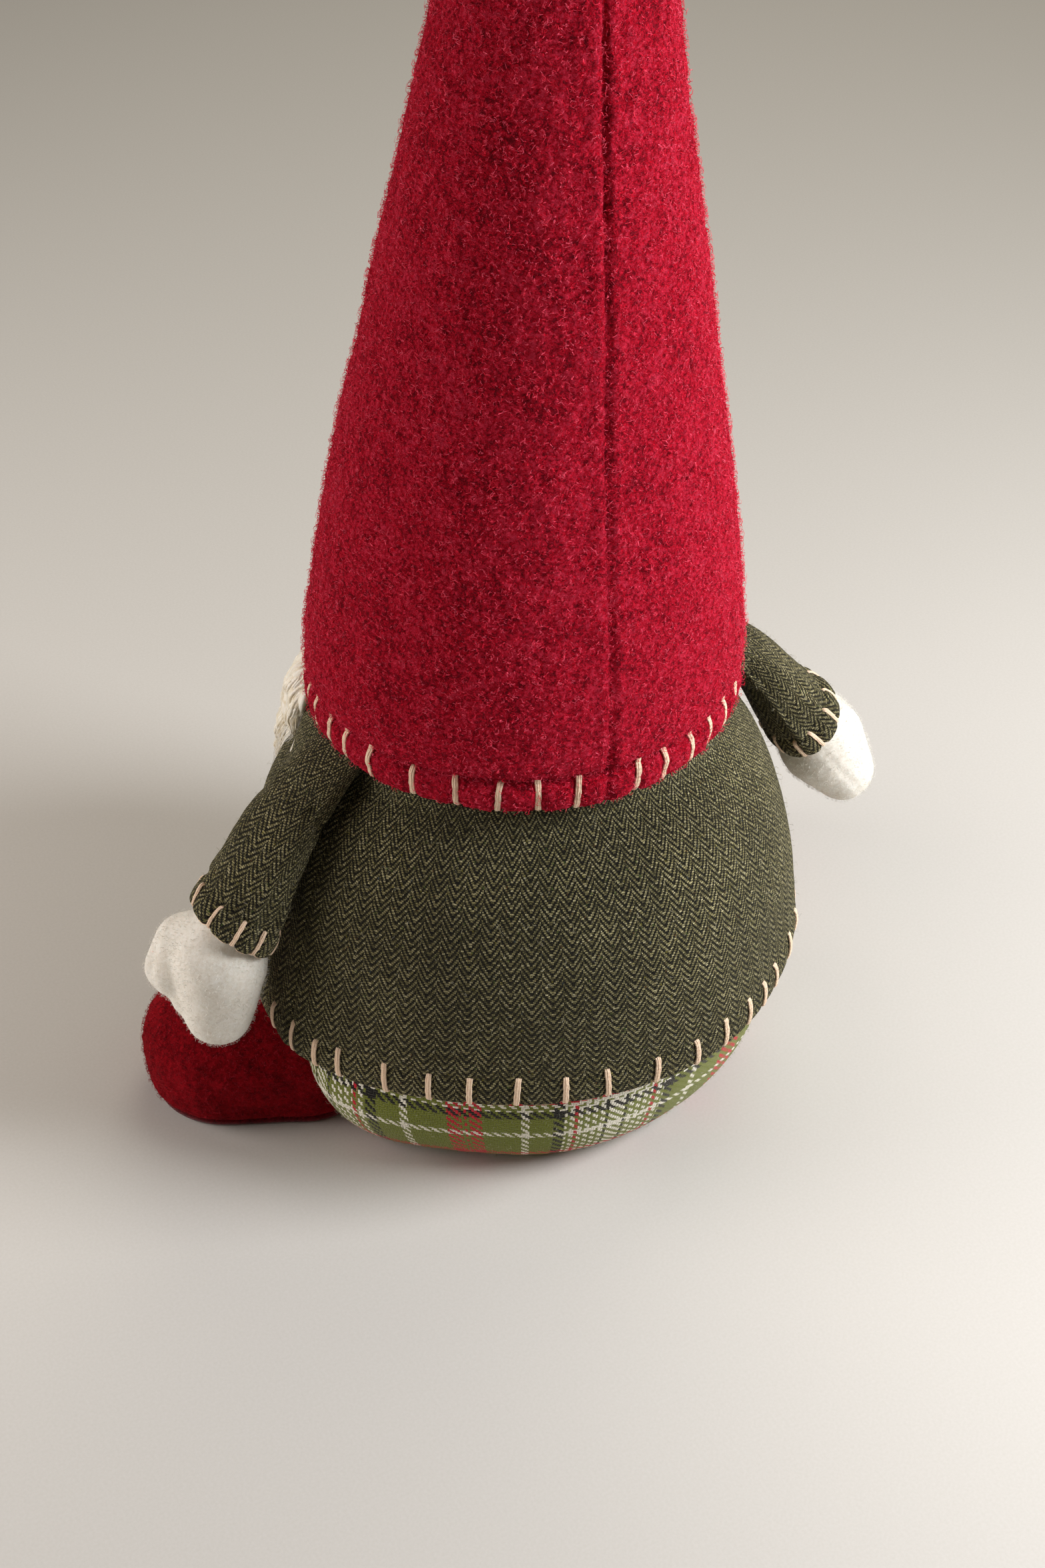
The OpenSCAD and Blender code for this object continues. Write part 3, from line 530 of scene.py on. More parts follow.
# ------------------------------------------------------------------ shared measures (mm)
COAT_P = [[85, 43], [84.6, 50], [83.4, 62], [81.6, 76], [78.7, 89], [74.6, 101], [69.2, 111], [63.4, 119], [58.3, 125], [56.4, 131], [53.6, 137], [46.5, 144], [33, 150.5]]
SEAT_P = [[57.5, 0], [61.5, 1.6], [66.2, 5.2], [70.2, 10.5], [73.8, 18], [76.6, 28], [78.2, 40], [79, 52], [78.8, 63]]
HAT_P = [[61.7, 128], [62, 134], [62, 148], [61.4, 161], [60.4, 173], [59, 184], [55.8, 205], [51.8, 226], [47.5, 246], [43.9, 266], [40.2, 284], [36.8, 302], [33.4, 320], [30.2, 337],
         [22.6, 375], [15.6, 411], [10.2, 441], [6.4, 462], [4.6, 475], [2.6, 481.5], [0.3, 484]]
SLEEVE = 48.5

def dense(prof, S):
    p = np.array(prof, float); s = np.concatenate([[0], np.cumsum(np.hypot(*np.diff(p, axis=0).T))])
    return cubic(S, s, p[:, 0]), cubic(S, s, p[:, 1]), s[-1]

def fill_azimuths(seen, spacing, lo, hi, r):
    """Stitch azimuths: the given ones, then even ones with a little jitter round the rest."""
    seen = list(seen); gap0, gap1 = seen[-1] + spacing, seen[0] + 360 - spacing
    n = max(1, int(round((gap1 - gap0) / spacing)) + 1)
    return np.array(seen + [gap0 + (gap1 - gap0) * k / (n - 1) + r.uniform(-0.9, 0.9) for k in range(n)])

rs = np.random.default_rng(11)
HAT_ST = fill_azimuths([-0.1, 7.1, 17.3, 30.8, 43.0, 53.6, 64.0, 73.7, 90.2, 99.0, 109.1, 117.5, 126.5], 10.0, 0, 360, rs)
COAT_ST = fill_azimuths([2.4, 9.4, 15.8, 21.5, 32.3, 41.5, 49.6, 58.8, 68.4, 77.0, 87.2, 96.9, 104.8, 112.9, 119.3, 125.3, 134.2], 8.5, 0, 360, rs)

def nearest_arc(az, stitches, r):
    """Distance in mm along a circle of radius r to the nearest stitch."""
    d = np.abs((az[:, None] - stitches[None] + 180) % 360 - 180).min(1)
    return np.radians(d) * r

# ------------------------------------------------------------------ coat
COAT_Z = interp_per
def coat_hem(az):
    zh = interp_per(az, [0, 8, 16, 24, 32, 42, 60, 90, 115, 128, 140, 170, 200, 240, 270, 300, 330], [40.5, 39.6, 39.8, 40.2, 41.6, 43.6, 44.8, 45.2, 45, 46, 46.5, 44, 43, 43, 43, 43, 42])
    rh = interp_per(az, [0, 8, 16, 24, 34, 50, 90, 120, 140, 180, 240, 300, 340], [87.6, 88.4, 87.6, 86.2, 85.2, 84.8, 84.8, 84.2, 84.2, 84.8, 85, 85, 86])
    return rh, zh

def coat_surface(nu, S):
    """Outer surface of the coat without its small detail: (nu, len(S), 3)."""
    az = np.arange(nu) / nu * 360.0
    r, z, L = dense(COAT_P, S)
    rh, zh = coat_hem(az)
    near = (1 - smooth(0, 34, S))[None]
    R = r[None] + (rh - 85)[:, None] * near; Z = z[None] + (zh - 43)[:, None] * (1 - smooth(0, 42, S))[None]
    a = np.radians(az)[:, None]
    return np.stack([R * np.cos(a), R * np.sin(a), Z], -1)

NUC = 440
Sc = np.concatenate([np.linspace(0, 12, 13), np.linspace(13.2, 138.0, 96)])
coarse_S = np.linspace(0, 138, 30)
base = coat_surface(96, coarse_S)
pin = np.zeros((96, 30)); pin[:, 0] = 1; pin[:, 20:] = 1; pin[:, 19] = 0.5
puffed = cloth_puff(base, pin=pin, pressure=4.0, frames=16, cap=1.6)
move = upsample(puffed - base, NUC, 400)
mi = np.clip(Sc / 138 * 399, 0, 399); i0 = np.floor(mi).astype(int); i1 = np.minimum(i0 + 1, 399); tt = (mi - i0)[None, :, None]
C = coat_surface(NUC, Sc) + move[:, i0] * (1 - tt) + move[:, i1] * tt
azc = np.arange(NUC) / NUC * 360.0
N = grid_normals(C); out_sign = np.sign((N[..., :2] * C[..., :2]).sum(-1).mean()); N *= out_sign
pinch = np.exp(-(nearest_arc(azc, COAT_ST, 85) / 1.3) ** 2)[:, None]
D = Sc[None]
relief = 0.85 * fbm(C, 34.0, 3, 3) * smooth(4, 26, D) * (1 - smooth(88, 112, D) * 0.6)
relief = relief + 0.9 * np.sin(np.radians(azc) * 9 + 2.2 * noise(C[:, 20], 60, 9))[:, None] * np.exp(-((D - 16) / 22.0) ** 2) * 0.42
relief = relief - 0.42 * np.exp(-((D - 8.6) / 1.2) ** 2) * (1 - 0.4 * pinch) + 0.34 * np.sin(np.pi * np.clip(D / 8.4, 0, 1)) * (D < 8.4)
relief = relief - 0.5 * pinch * np.exp(-(np.maximum(D - 7.5, 0) / 1.2) ** 2)
for seam_az in (9.0, 171.0):
    arc = np.radians((azc - seam_az + 180) % 360 - 180) * 80
    relief = relief + (-0.7 * np.exp(-(arc / 0.8) ** 2) + 0.25 * np.exp(-((np.abs(arc) - 2.6) / 1.5) ** 2))[:, None] * (1 - smooth(100, 112, D))
relief = relief + 0.05 * noise(C, 1.3, 5)
# flatter where the coat turns in beside the beard
relief = relief - 4.2 * np.exp(-((C[..., 2] - 104) / 9.0) ** 2) * np.exp(-((np.abs((azc - 90) % 360 - 180) - 50) / 22.0) ** 2)[:, None]
C = C + N * relief[..., None]
C[..., 2] += (0.55 * pinch * (1 - smooth(0, 5, D)) - 0.22 * (1 - pinch) * (1 - smooth(0, 3, D)))
Nc = grid_normals(C) * out_sign
def shell(P, Nn, t, inner_cols, edge=True):
    """Outer grid plus a rounded lower edge and an inner side; columns run inner top, inner, edge, outer."""
    inner = (P - Nn * t)[:, inner_cols[::-1]]
    down = (P[:, 0] - P[:, 1]); down = down / np.linalg.norm(down, axis=-1, keepdims=True)
    mid = P[:, 0] - Nn[:, 0] * t * 0.5 + down * t * 0.42
    q1 = P[:, 0] - Nn[:, 0] * t * 0.14 + down * t * 0.3; q2 = P[:, 0] - Nn[:, 0] * t * 0.86 + down * t * 0.3
    return np.concatenate([inner, q2[:, None], mid[:, None], q1[:, None], P], 1), inner.shape[1]
cols = np.unique(np.concatenate([np.arange(0, 12, 2), np.arange(12, len(Sc), 6), [len(Sc) - 1]]))
G, ni = shell(C, Nc, 1.9, cols)
vv = np.concatenate([-Sc[cols][::-1] - 2.4, [-1.7, -1.2, -0.6], Sc])
uu = np.radians(azc) * 79.0
UV = np.stack(np.broadcast_arrays(uu[:, None], vv[None]), -1) * MM
coat = grid_object("coat_tweed", G, UV, [tweed], closed_v=True)

def sampler(P, S, nu):
    """Point and outward normal on a grid at (azimuth in degrees, distance along S)."""
    Nn = grid_normals(P); Nn *= np.sign((Nn[..., :2] * P[..., :2]).sum(-1).mean())
    def at(az, s):
        fi = (np.asarray(az, float) % 360) / 360 * nu; i = np.floor(fi).astype(int); a = (fi - i)[:, None]; i %= nu; i2 = (i + 1) % nu
        fj = np.interp(s, S, np.arange(len(S))); j = np.clip(np.floor(fj).astype(int), 0, len(S) - 2); b = (fj - j)[:, None]
        f = lambda A: (A[i, j] * (1 - a) + A[i2, j] * a) * (1 - b) + (A[i, j + 1] * (1 - a) + A[i2, j + 1] * a) * b
        n = f(Nn); return f(P), n / np.linalg.norm(n, axis=1, keepdims=True)
    return at

def hem_threads(T, at, stitches, length, r_mm, r, wrap_t, width=1.6, strands=3, inner_drop=0.4, edge_arc=True):
    """Blanket stitches: a bar up the cloth at each stitch, over the edge, and a thread along the edge between them."""
    st = np.sort(stitches % 360); n = len(st)
    lens, slants = [], []
    for k, a in enumerate(st):
        L = length * (1 + r.uniform(-0.10, 0.10)); sl = np.degrees(r.uniform(-0.7, 0.7) / r_mm); lens.append(L); slants.append(sl)
        s = np.linspace(L, 0.15, 12); p, nn = at(a + sl * s / L, s)
        pin_ = np.array([0.0] + [0.22] * 10 + [0.2]); bow = np.sin(np.linspace(0, np.pi, 12)) * 0.12
        p = p + nn * (pin_ + bow)[:, None]
        e, en = at(np.array([a]), np.array([0.0])); e1, _ = at(np.array([a]), np.array([2.0])); dn = (e - e1)[0]; dn /= np.linalg.norm(dn)
        turn = [e[0] + dn * 0.72 + en[0] * 0.05, e[0] + dn * 1.15 - en[0] * wrap_t * 0.5, e[0] + dn * 0.6 - en[0] * (wrap_t + 0.25)]
        dive = p[0] - nn[0] * 0.9 + (p[0] - p[1]) * 0.25
        path = np.vstack([dive[None], p, np.array(turn)]); o = np.vstack([nn[:1], nn, [en[0] + dn * 0.8], [dn], [dn - en[0] * 0.8]])
        t2 = np.linspace(0, len(path) - 1, 22); idx = np.arange(len(path))
        path = np.stack([np.interp(t2, idx, path[:, c]) for c in range(3)], 1); o = np.stack([np.interp(t2, idx, o[:, c]) for c in range(3)], 1)
        thread(T, path, o, width=width, strands=strands, r=width / strands * 0.62)
        # along the edge to the next one
        b = st[(k + 1) % n] + (360 if k == n - 1 else 0); m = 12; f = np.linspace(0, 1, m); aa = a + (b - a) * f
        q, qn = at(aa, np.full(m, 0.0)); q1, _ = at(aa, np.full(m, 2.0)); dn = q - q1; dn /= np.linalg.norm(dn, axis=1, keepdims=True)
        sag = np.sin(np.pi * f)
        q = q + dn * (0.55 + 0.15 * sag)[:, None] - qn * (wrap_t * 0.55 * np.ones(m))[:, None]
        thread(T, q, dn, width=width * 0.5, strands=2, r=width / strands * 0.42)

coat_at = sampler(C, Sc, NUC)
T = Tubes(); hem_threads(T, coat_at, COAT_ST, 8.6, 85, np.random.default_rng(3), 1.9, width=1.75)
coat_threads = T.object("coat_blanket_stitch", [thread_mat])

# ------------------------------------------------------------------ hat
NUH = 304
Sh = np.concatenate([np.linspace(0, 13, 14), np.linspace(14.2, 361.0, 262)])
r_, z_, LH = dense(HAT_P, np.clip(Sh * 1.0, 0, None)); Sh = Sh * (LH / Sh[-1]) if LH < Sh[-1] else Sh
Sh = np.concatenate([np.linspace(0, 13, 14), np.linspace(14.2, LH, 262)]); r_, z_, _ = dense(HAT_P, Sh)
azh = np.arange(NUH) / NUH * 360.0; ah = np.radians(azh)
lean_x = -(z_ - 128) * math.tan(math.radians(1.6)); off = np.interp(z_, [128, 205, 226, 246, 284, 302, 320, 337, 420, 484], [0, 0, 0.6, 1.3, 2.4, 3.2, 3.9, 4.8, 7.0, 8.0])
H = np.stack([r_[None] * np.cos(ah)[:, None] + lean_x[None] - 0.45 * off[None], r_[None] * np.sin(ah)[:, None] + 0.5 * off[None], np.broadcast_to(z_, (NUH, len(z_)))], -1)
NH = grid_normals(H); hs = np.sign((NH[:, :60, :2] * H[:, :60, :2]).sum(-1).mean()); NH *= hs
D = Sh[None]; taper = smooth(0, 8, np.minimum(r_, 40))[None]
ph = np.exp(-(nearest_arc(azh, HAT_ST, 62) / 1.25) ** 2)[:, None]
band = (D < 9.0)
rel = 1.25 * np.sin(np.pi * np.clip(D / 8.8, 0, 1)) ** 0.8 * band * (1 - 0.9 * ph) - 0.5 * ph * band
rel = rel - 1.5 * np.exp(-((D - 9.1) / 1.0) ** 2) + 0.9 * smooth(9.5, 13, D) * (1 - smooth(15, 40, D))
seam = np.radians((azh - 82.0 + 180) % 360 - 180)[:, None] * r_[None]
rel = rel - 1.15 * np.exp(-(seam / 0.75) ** 2) + 0.4 * np.exp(-((np.abs(seam) - 2.4) / 1.3) ** 2)
seam_f = np.radians((azh + 98.0 + 180) % 360 - 180)[:, None] * r_[None]
rel = rel + 1.1 * fbm(H, 46.0, 2, 21) * smooth(12, 40, D)
rel = rel + 0.32 * fbm(H, 6.5, 2, 22) + 0.34 * noise(H, 2.9, 23) + 0.3 * noise(H, 1.7, 24)
rel = rel * (0.25 + 0.75 * taper)
H = H + NH * rel[..., None]
brim_lift = interp_per(azh, [0, 30, 60, 90, 120, 150, 180, 225, 270, 315], [5.4, 5.6, 6.3, 7.0, 7.2, 6.6, 5.0, 1.6, 0.0, 2.0])[:, None]
H[..., 2] += 1.0 * ph * (1 - smooth(0, 6, D)) - 0.45 * (1 - ph) * (1 - smooth(0, 5, D)) + 0.35 * np.sin(ah * 3 + 0.6)[:, None] * (1 - smooth(0, 30, D)) + brim_lift * (1 - smooth(12, 90, D))
NH2 = grid_normals(H) * hs
cols = np.unique(np.concatenate([np.arange(0, 12, 3), np.arange(14, len(Sh) - 20, 12)]))
G, ni = shell(H, NH2, 2.6, cols)
vv = np.concatenate([-Sh[cols][::-1] - 2.6, [-1.9, -1.3, -0.6], Sh]); UV = np.stack(np.broadcast_arrays(ah[:, None] * 60, vv[None]), -1) * MM
hat = grid_object("hat_boiled_wool", G, UV, [hat_felt], cap0=True, cap1=True)
hat_at = sampler(H, Sh, NUH)
T = Tubes(); hem_threads(T, hat_at, HAT_ST, 9.4, 62, np.random.default_rng(5), 2.6, width=1.7)
hat_threads = T.object("hat_blanket_stitch", [thread_mat])

def fur(name, P, Nn, S, count, mats, length, radius, weight=None, seed=1, curl=(2.0, 5.0), pts=4, lay=0.6):
    r = np.random.default_rng(seed)
    w = np.ones((P.shape[0], P.shape[1] - 1)) if weight is None else weight
    pos, nn, i, j = scatter_on(P, Nn, w, count, r)
    T = Tubes(); curly(T, pos - nn * 0.1, nn, r.uniform(length[0], length[1], count), r.uniform(radius[0], radius[1], count), r.uniform(curl[0], curl[1], count), pts, r, lay)
    return T.object(name, mats)
hat_furs = [fur("hat_wool_curls_" + "abcd"[k], H, NH2, Sh, 9400, [hat_fibre_highlit], ((1.0, 2.2), (1.1, 2.5), (0.9, 2.0), (0.7, 1.6))[k], (0.07, 0.125), seed=31 + k, curl=(2.5, 6.0), lay=(0.6, 0.75, 0.8, 0.7)[k]) for k in range(4)]
coat_fur = fur("tweed_loose_fibres", C[:, :92], Nc[:, :92], Sc[:92], 1500, [tweed_fibre], (1.0, 3.2), (0.035, 0.06), seed=33, lay=0.85)

# ------------------------------------------------------------------ seat
NUS = 400
p = np.array(SEAT_P); LS = np.hypot(*np.diff(p, axis=0).T).sum()
Ss = np.linspace(0, LS - 0.5, 62)
r_s, z_s, _ = dense(SEAT_P, Ss); azs = np.arange(NUS) / NUS * 360; a_s = np.radians(azs)
St = np.stack([r_s[None] * np.cos(a_s)[:, None], r_s[None] * np.sin(a_s)[:, None], np.broadcast_to(z_s, (NUS, len(z_s)))], -1)
cb = St[::4, ::3]; pin = np.zeros(cb.shape[:2]); pin[:, 0] = 1; pin[:, -1] = 1
pf = cloth_puff(cb, pin=pin, pressure=4.0, frames=12, cap=0.8)
St = St + upsample(pf - cb, NUS, len(Ss))
NS = grid_normals(St); ss = np.sign((NS[..., :2] * St[..., :2]).sum(-1).mean()); NS *= ss
rel = 0.35 * fbm(St, 22, 2, 41) * smooth(4, 16, Ss)[None] + 0.32 * np.sin(a_s * 46 + 3 * noise(St[:, 5], 40, 42))[:, None] * np.exp(-((Ss - 5) / 5.0) ** 2)[None]
St = St + NS * rel[..., None]; St[..., 2] = np.maximum(St[..., 2], 0.15)
# the pellets have settled to one side
az0 = (azs + 180) % 360 - 180
lean = 7.6 * np.exp(-((az0 - 17) / np.where(az0 < 17, 14.0, 20.0)) ** 2) - 1.1 * np.exp(-((az0 - 102) / 22.0) ** 2)
St[..., :2] *= (1 + lean[:, None] * (0.6 + 0.4 * smooth(0, 6, St[..., 2])) * (1 - smooth(20, 50, St[..., 2])) / np.linalg.norm(St[..., :2], axis=-1))[..., None]
bot_r = np.array([0.6, 12, 24, 36, 46, 52, 55.5, 57.0]); bz = np.array([0.9, 0.9, 0.9, 0.85, 0.7, 0.5, 0.75, 0.45])
B0 = np.stack([bot_r[None] * np.cos(a_s)[:, None], bot_r[None] * np.sin(a_s)[:, None], np.broadcast_to(bz, (NUS, 8)) + 0.25 * noise(np.stack([np.cos(a_s)[:, None] * bot_r, np.sin(a_s)[:, None] * bot_r, 0 * a_s[:, None] + 0 * bot_r], -1), 14, 43)], -1)
B0[..., 2] = np.maximum(B0[..., 2], 0.12); B0[..., :2] *= (1 + lean[:, None] * 0.6 / 57.0 * (bot_r / 57.0)[None] ** 2)[..., None]
inn = (St - NS * 1.5)[:, ::-1][:, ::4]
Gs = np.concatenate([B0, St, inn], 1)
arc_b = bot_r - 57.5
Uu = ((np.radians(azs) * 78 - 64.4) * 1.02)
Vv = np.concatenate([arc_b - 11.8, Ss - 11.8, (Ss - 11.8)[::-1][::4]])
UVs = np.stack(np.broadcast_arrays(Uu[:, None], Vv[None]), -1) * MM
seat = grid_object("seat_tartan_flannel", Gs, UVs, [tartan], cap0=True, cap1=True)
seat_fuzz = fur("seat_nap_fibres", St[:, 2:44], NS[:, 2:44], Ss[2:44], 2600, [tartan_fibre], (0.6, 1.8), (0.03, 0.055), seed=45, lay=0.8)

# ------------------------------------------------------------------ arms
def at_left(P, A=38.0, zs=120.0):
    P = np.asarray(P, float); c, s = math.cos(math.radians(A)), math.sin(math.radians(A))
    return np.stack([67.2 + P[..., 0] * c - P[..., 2] * s, P[..., 1], zs + P[..., 0] * s + P[..., 2] * c], -1)
def at_right(P, A=42.5, zs=122.0, turn=8.0):
    P = np.asarray(P, float); c, s = math.cos(math.radians(A)), math.sin(math.radians(A))
    Q = np.stack([P[..., 0] * c - P[..., 2] * s, P[..., 1], P[..., 0] * s + P[..., 2] * c], -1)
    ct, st = math.cos(math.radians(turn)), math.sin(math.radians(turn))
    Q = np.stack([Q[..., 0] * ct - Q[..., 1] * st, Q[..., 0] * st + Q[..., 1] * ct, Q[..., 2]], -1)
    return np.stack([-(67.2 + Q[..., 0]), Q[..., 1], zs + Q[..., 2]], -1)

def sleeve(side, place, seed):
    secs = np.array([[-21, -3.0, 1.0, 9.5], [-14, -2.6, 3.2, 10.8], [-10, -2.7, 5.0, 11.4], [-4, -2.7, 7.0, 12], [0, -2.6, 8.0, 12.5], [9, -2.9, 10.8, 14], [20, -4.9, 12.2, 15], [30, -8.6, 12.6, 15.4], [38, -11, 12.6, 15.4], [48.5, -12.6, 12.6, 15.6]])
    if side == "right": secs[:, 2] += np.array([0, 0.6, 1.5, 2.0, 2.0, 1.6, 0.8, 0.2, 0, 0])
    nu = 180; S = np.concatenate([np.linspace(-21, 40, 52), np.linspace(41, SLEEVE, 12)])
    g = lambda k, s: cubic(s, secs[:, 0], secs[:, k])
    t = np.arange(nu) / nu * 2 * np.pi; ct, st = np.cos(t)[:, None], np.sin(t)[:, None]
    def tube(S, nu_t):
        ct, st = np.cos(nu_t)[:, None], np.sin(nu_t)[:, None]
        x0, x1, w = g(1, S), g(2, S), g(3, S); e = 0.92
        X = (x0 + x1)[None] / 2 + (x1 - x0)[None] / 2 * np.sign(ct) * np.abs(ct) ** e; Y = w[None] * np.sign(st) * np.abs(st) ** e
        return np.stack([X, Y, -np.broadcast_to(S[None], X.shape)], -1)
    cs = np.linspace(-21, SLEEVE, 22); ctb = tube(cs, np.arange(44) / 44 * 2 * np.pi); pin = np.zeros((44, 22)); pin[:, :7] = 1; pin[:, -2:] = 1
    pf = cloth_puff(ctb, pin=pin, pressure=4.0, frames=12, cap=0.9)
    mv = upsample(pf - ctb, nu, 200); mi = np.interp(S, [-21, SLEEVE], [0, 199]); i0 = np.floor(mi).astype(int); i1 = np.minimum(i0 + 1, 199); tt = (mi - i0)[None, :, None]
    P = tube(S, t) + mv[:, i0] * (1 - tt) + mv[:, i1] * tt
    Nn = grid_normals(P); sg = np.sign((Nn[..., :2] * (P[..., :2] - P[..., :2].mean(0))).sum(-1).mean()); Nn *= sg
    d = (SLEEVE - S)[None]; deg = np.degrees(t)
    stz = np.sort((np.arange(10) + 0.5) * 36 + np.random.default_rng(seed).uniform(-3, 3, 10))
    pinch = np.exp(-(np.radians(np.abs((deg[:, None] - stz[None] + 180) % 360 - 180).min(1)) * 14 / 1.2) ** 2)[:, None]
    inward = smooth(0.2, 0.9, -ct)     # the side that lies on the coat stays smooth
    rel = 0.75 * fbm(P + seed * 7, 15, 3, 50 + seed) * smooth(-4, 10, S)[None] * (1 - 0.7 * inward)
    rel = rel - 0.4 * np.exp(-((d - 8.3) / 1.1) ** 2) + 0.5 * np.sin(np.pi * np.clip(d / 8, 0, 1)) * (d < 8) * (1 - pinch) - 0.6 * pinch * (d < 8.6)
    seam_at = np.radians((deg - 250 + 180) % 360 - 180)[:, None] * 14
    rel = rel - 0.6 * np.exp(-(seam_at / 0.8) ** 2) * smooth(0, 8, S)[None]
    for k, (s0, ang, dep) in enumerate(((10, 215, 0.9), (16, 150, 0.6), (28, 95, 0.5), (6, 100, 0.7))):
        da = np.radians((deg - ang + 180) % 360 - 180)[:, None] * 13
        rel = rel - dep * np.exp(-((S[None] - s0 - 0.22 * da) / 2.6) ** 2) * np.exp(-(da / 11) ** 2)
    P = P + Nn * rel[..., None]
    P[..., 2] += (0.8 * pinch - 0.35 * (1 - pinch)) * (1 - smooth(0, 4, d))
    Nn = grid_normals(P) * sg
    # turned edge: inner side goes back up the sleeve
    outer = P[:, ::-1]; No = Nn[:, ::-1]; So = S[::-1]
    down = outer[:, 0] - outer[:, 1]; down /= np.linalg.norm(down, axis=-1, keepdims=True)
    th = 1.7; cols = np.array([0, 2, 4, 6, 8, 10, 12, 15, 20, 26])
    inner = (outer - No * th)[:, cols[::-1]]
    q1 = outer[:, 0] - No[:, 0] * th * 0.14 + down * th * 0.3; q2 = outer[:, 0] - No[:, 0] * th * 0.86 + down * th * 0.3; qm = outer[:, 0] - No[:, 0] * th * 0.5 + down * th * 0.42
    Gg = np.concatenate([inner, q2[:, None], qm[:, None], q1[:, None], outer], 1)
    vv = np.concatenate([(SLEEVE - So[cols[::-1]]) * -1 - 2, [-1.5, -1, -0.5], SLEEVE - So])
    uvv = np.stack(np.broadcast_arrays((t * 14.2)[:, None], vv[None]), -1) * MM
    ob = grid_object(side + "_sleeve_tweed", place(Gg), uvv, [tweed], cap0=True, cap1=True)
    # threads in local coordinates, then placed
    def at(az, s):
        fi = (np.asarray(az, float) % 360) / 360 * nu; i = np.floor(fi).astype(int); a = (fi - i)[:, None]; i %= nu; i2 = (i + 1) % nu
        dd = SLEEVE - So; fj = np.interp(s, dd, np.arange(len(dd))); j = np.clip(np.floor(fj).astype(int), 0, len(dd) - 2); b = (fj - j)[:, None]
        f = lambda A: (A[i, j] * (1 - a) + A[i2, j] * a) * (1 - b) + (A[i, j + 1] * (1 - a) + A[i2, j + 1] * a) * b
        n = f(No); return f(outer), n / np.linalg.norm(n, axis=1, keepdims=True)
    T = Tubes(); hem_threads(T, at, stz, 7.2, 14, np.random.default_rng(60 + seed), 1.7, width=1.35)
    tv = [place(v) for v in T.v]; T.v = tv
    th_ob = T.object(side + "_cuff_stitch", [thread_mat])
    if place is at_right: th_ob.data.flip_normals()
    W = place(outer[:, :48]); Nw = grid_normals(W); Nw *= np.sign((Nw * (W - W.mean(0, keepdims=True))).sum(-1).mean())
    fz = fur(side + "_sleeve_fibres", W, Nw, So[:48], 320, [tweed_fibre], (0.9, 2.6), (0.035, 0.06), seed=70 + seed, lay=0.85)
    return ob, th_ob, fz

left_sleeve, left_cuff, left_sl_fuzz = sleeve("left", at_left, 1)
right_sleeve, right_cuff, right_sl_fuzz = sleeve("right", at_right, 2)

# ------------------------------------------------------------------ mittens
def remeshed(name, balls, voxel, smooth_n=6):
    bm = bmesh.new()
    for (x, y, z, r) in balls:
        bmesh.ops.create_icosphere(bm, subdivisions=3, radius=r, matrix=Matrix.Translation((x, y, z)))
    me = bpy.data.meshes.new(name); bm.to_mesh(me); bm.free()
    ob = bpy.data.objects.new(name, me); bpy.context.scene.collection.objects.link(ob)
    m = ob.modifiers.new("r", "REMESH"); m.mode = "VOXEL"; m.voxel_size = voxel; m.use_smooth_shade = True
    s = ob.modifiers.new("s", "SMOOTH"); s.iterations = smooth_n; s.factor = 0.5
    dg = bpy.context.evaluated_depsgraph_get(); ev = ob.evaluated_get(dg); me2 = bpy.data.meshes.new_from_object(ev)
    bpy.data.objects.remove(ob); bpy.data.meshes.remove(me)
    n = len(me2.vertices); co = np.empty(n * 3); me2.vertices.foreach_get("co", co)
    tri_faces = [tuple(p.vertices) for p in me2.polygons]; bpy.data.meshes.remove(me2)
    return co.reshape(n, 3), tri_faces

def vertex_normals(co, faces):
    n = np.zeros_like(co); F = np.array([f[:4] if len(f) == 4 else (f[0], f[1], f[2], f[2]) for f in faces])
    fn = np.cross(co[F[:, 2]] - co[F[:, 0]], co[F[:, 3]] - co[F[:, 1]])
    tri = F[:, 2] == F[:, 3]; fn[tri] = np.cross(co[F[tri, 1]] - co[F[tri, 0]], co[F[tri, 2]] - co[F[tri, 0]])
    for k in range(4): np.add.at(n, F[:, k], fn)
    return n / np.maximum(np.linalg.norm(n, axis=1, keepdims=True), 1e-9)

def chain(a, b, ra, rb, n):
    return [tuple(np.array(a) * (1 - t) + np.array(b) * t) + (ra * (1 - t) + rb * t,) for t in np.linspace(0, 1, n)]

def fuzz_mesh(name, co, faces, count, mats, length, radius, seed, keep=None, curl=(1.5, 4.5), lay=0.7):
    r = np.random.default_rng(seed); F = np.array([f[:3] for f in faces]); A = np.linalg.norm(np.cross(co[F[:, 1]] - co[F[:, 0]], co[F[:, 2]] - co[F[:, 0]]), axis=1)
    if keep is not None: A = A * keep(co[F].mean(1))
    pk = r.choice(len(F), count, p=A / A.sum()); u, v = r.random((2, count, 1)); sw = (u + v) > 1; u = np.where(sw, 1 - u, u); v = np.where(sw, 1 - v, v)
    pos = co[F[pk, 0]] * (1 - u - v) + co[F[pk, 1]] * u + co[F[pk, 2]] * v; nn = vertex_normals(co, faces)[F[pk, 0]]
    T = Tubes(); curly(T, pos - nn * 0.1, nn, r.uniform(*length, count), r.uniform(*radius, count), r.uniform(*curl, count), 4, r, lay)
    return T.object(name, mats)

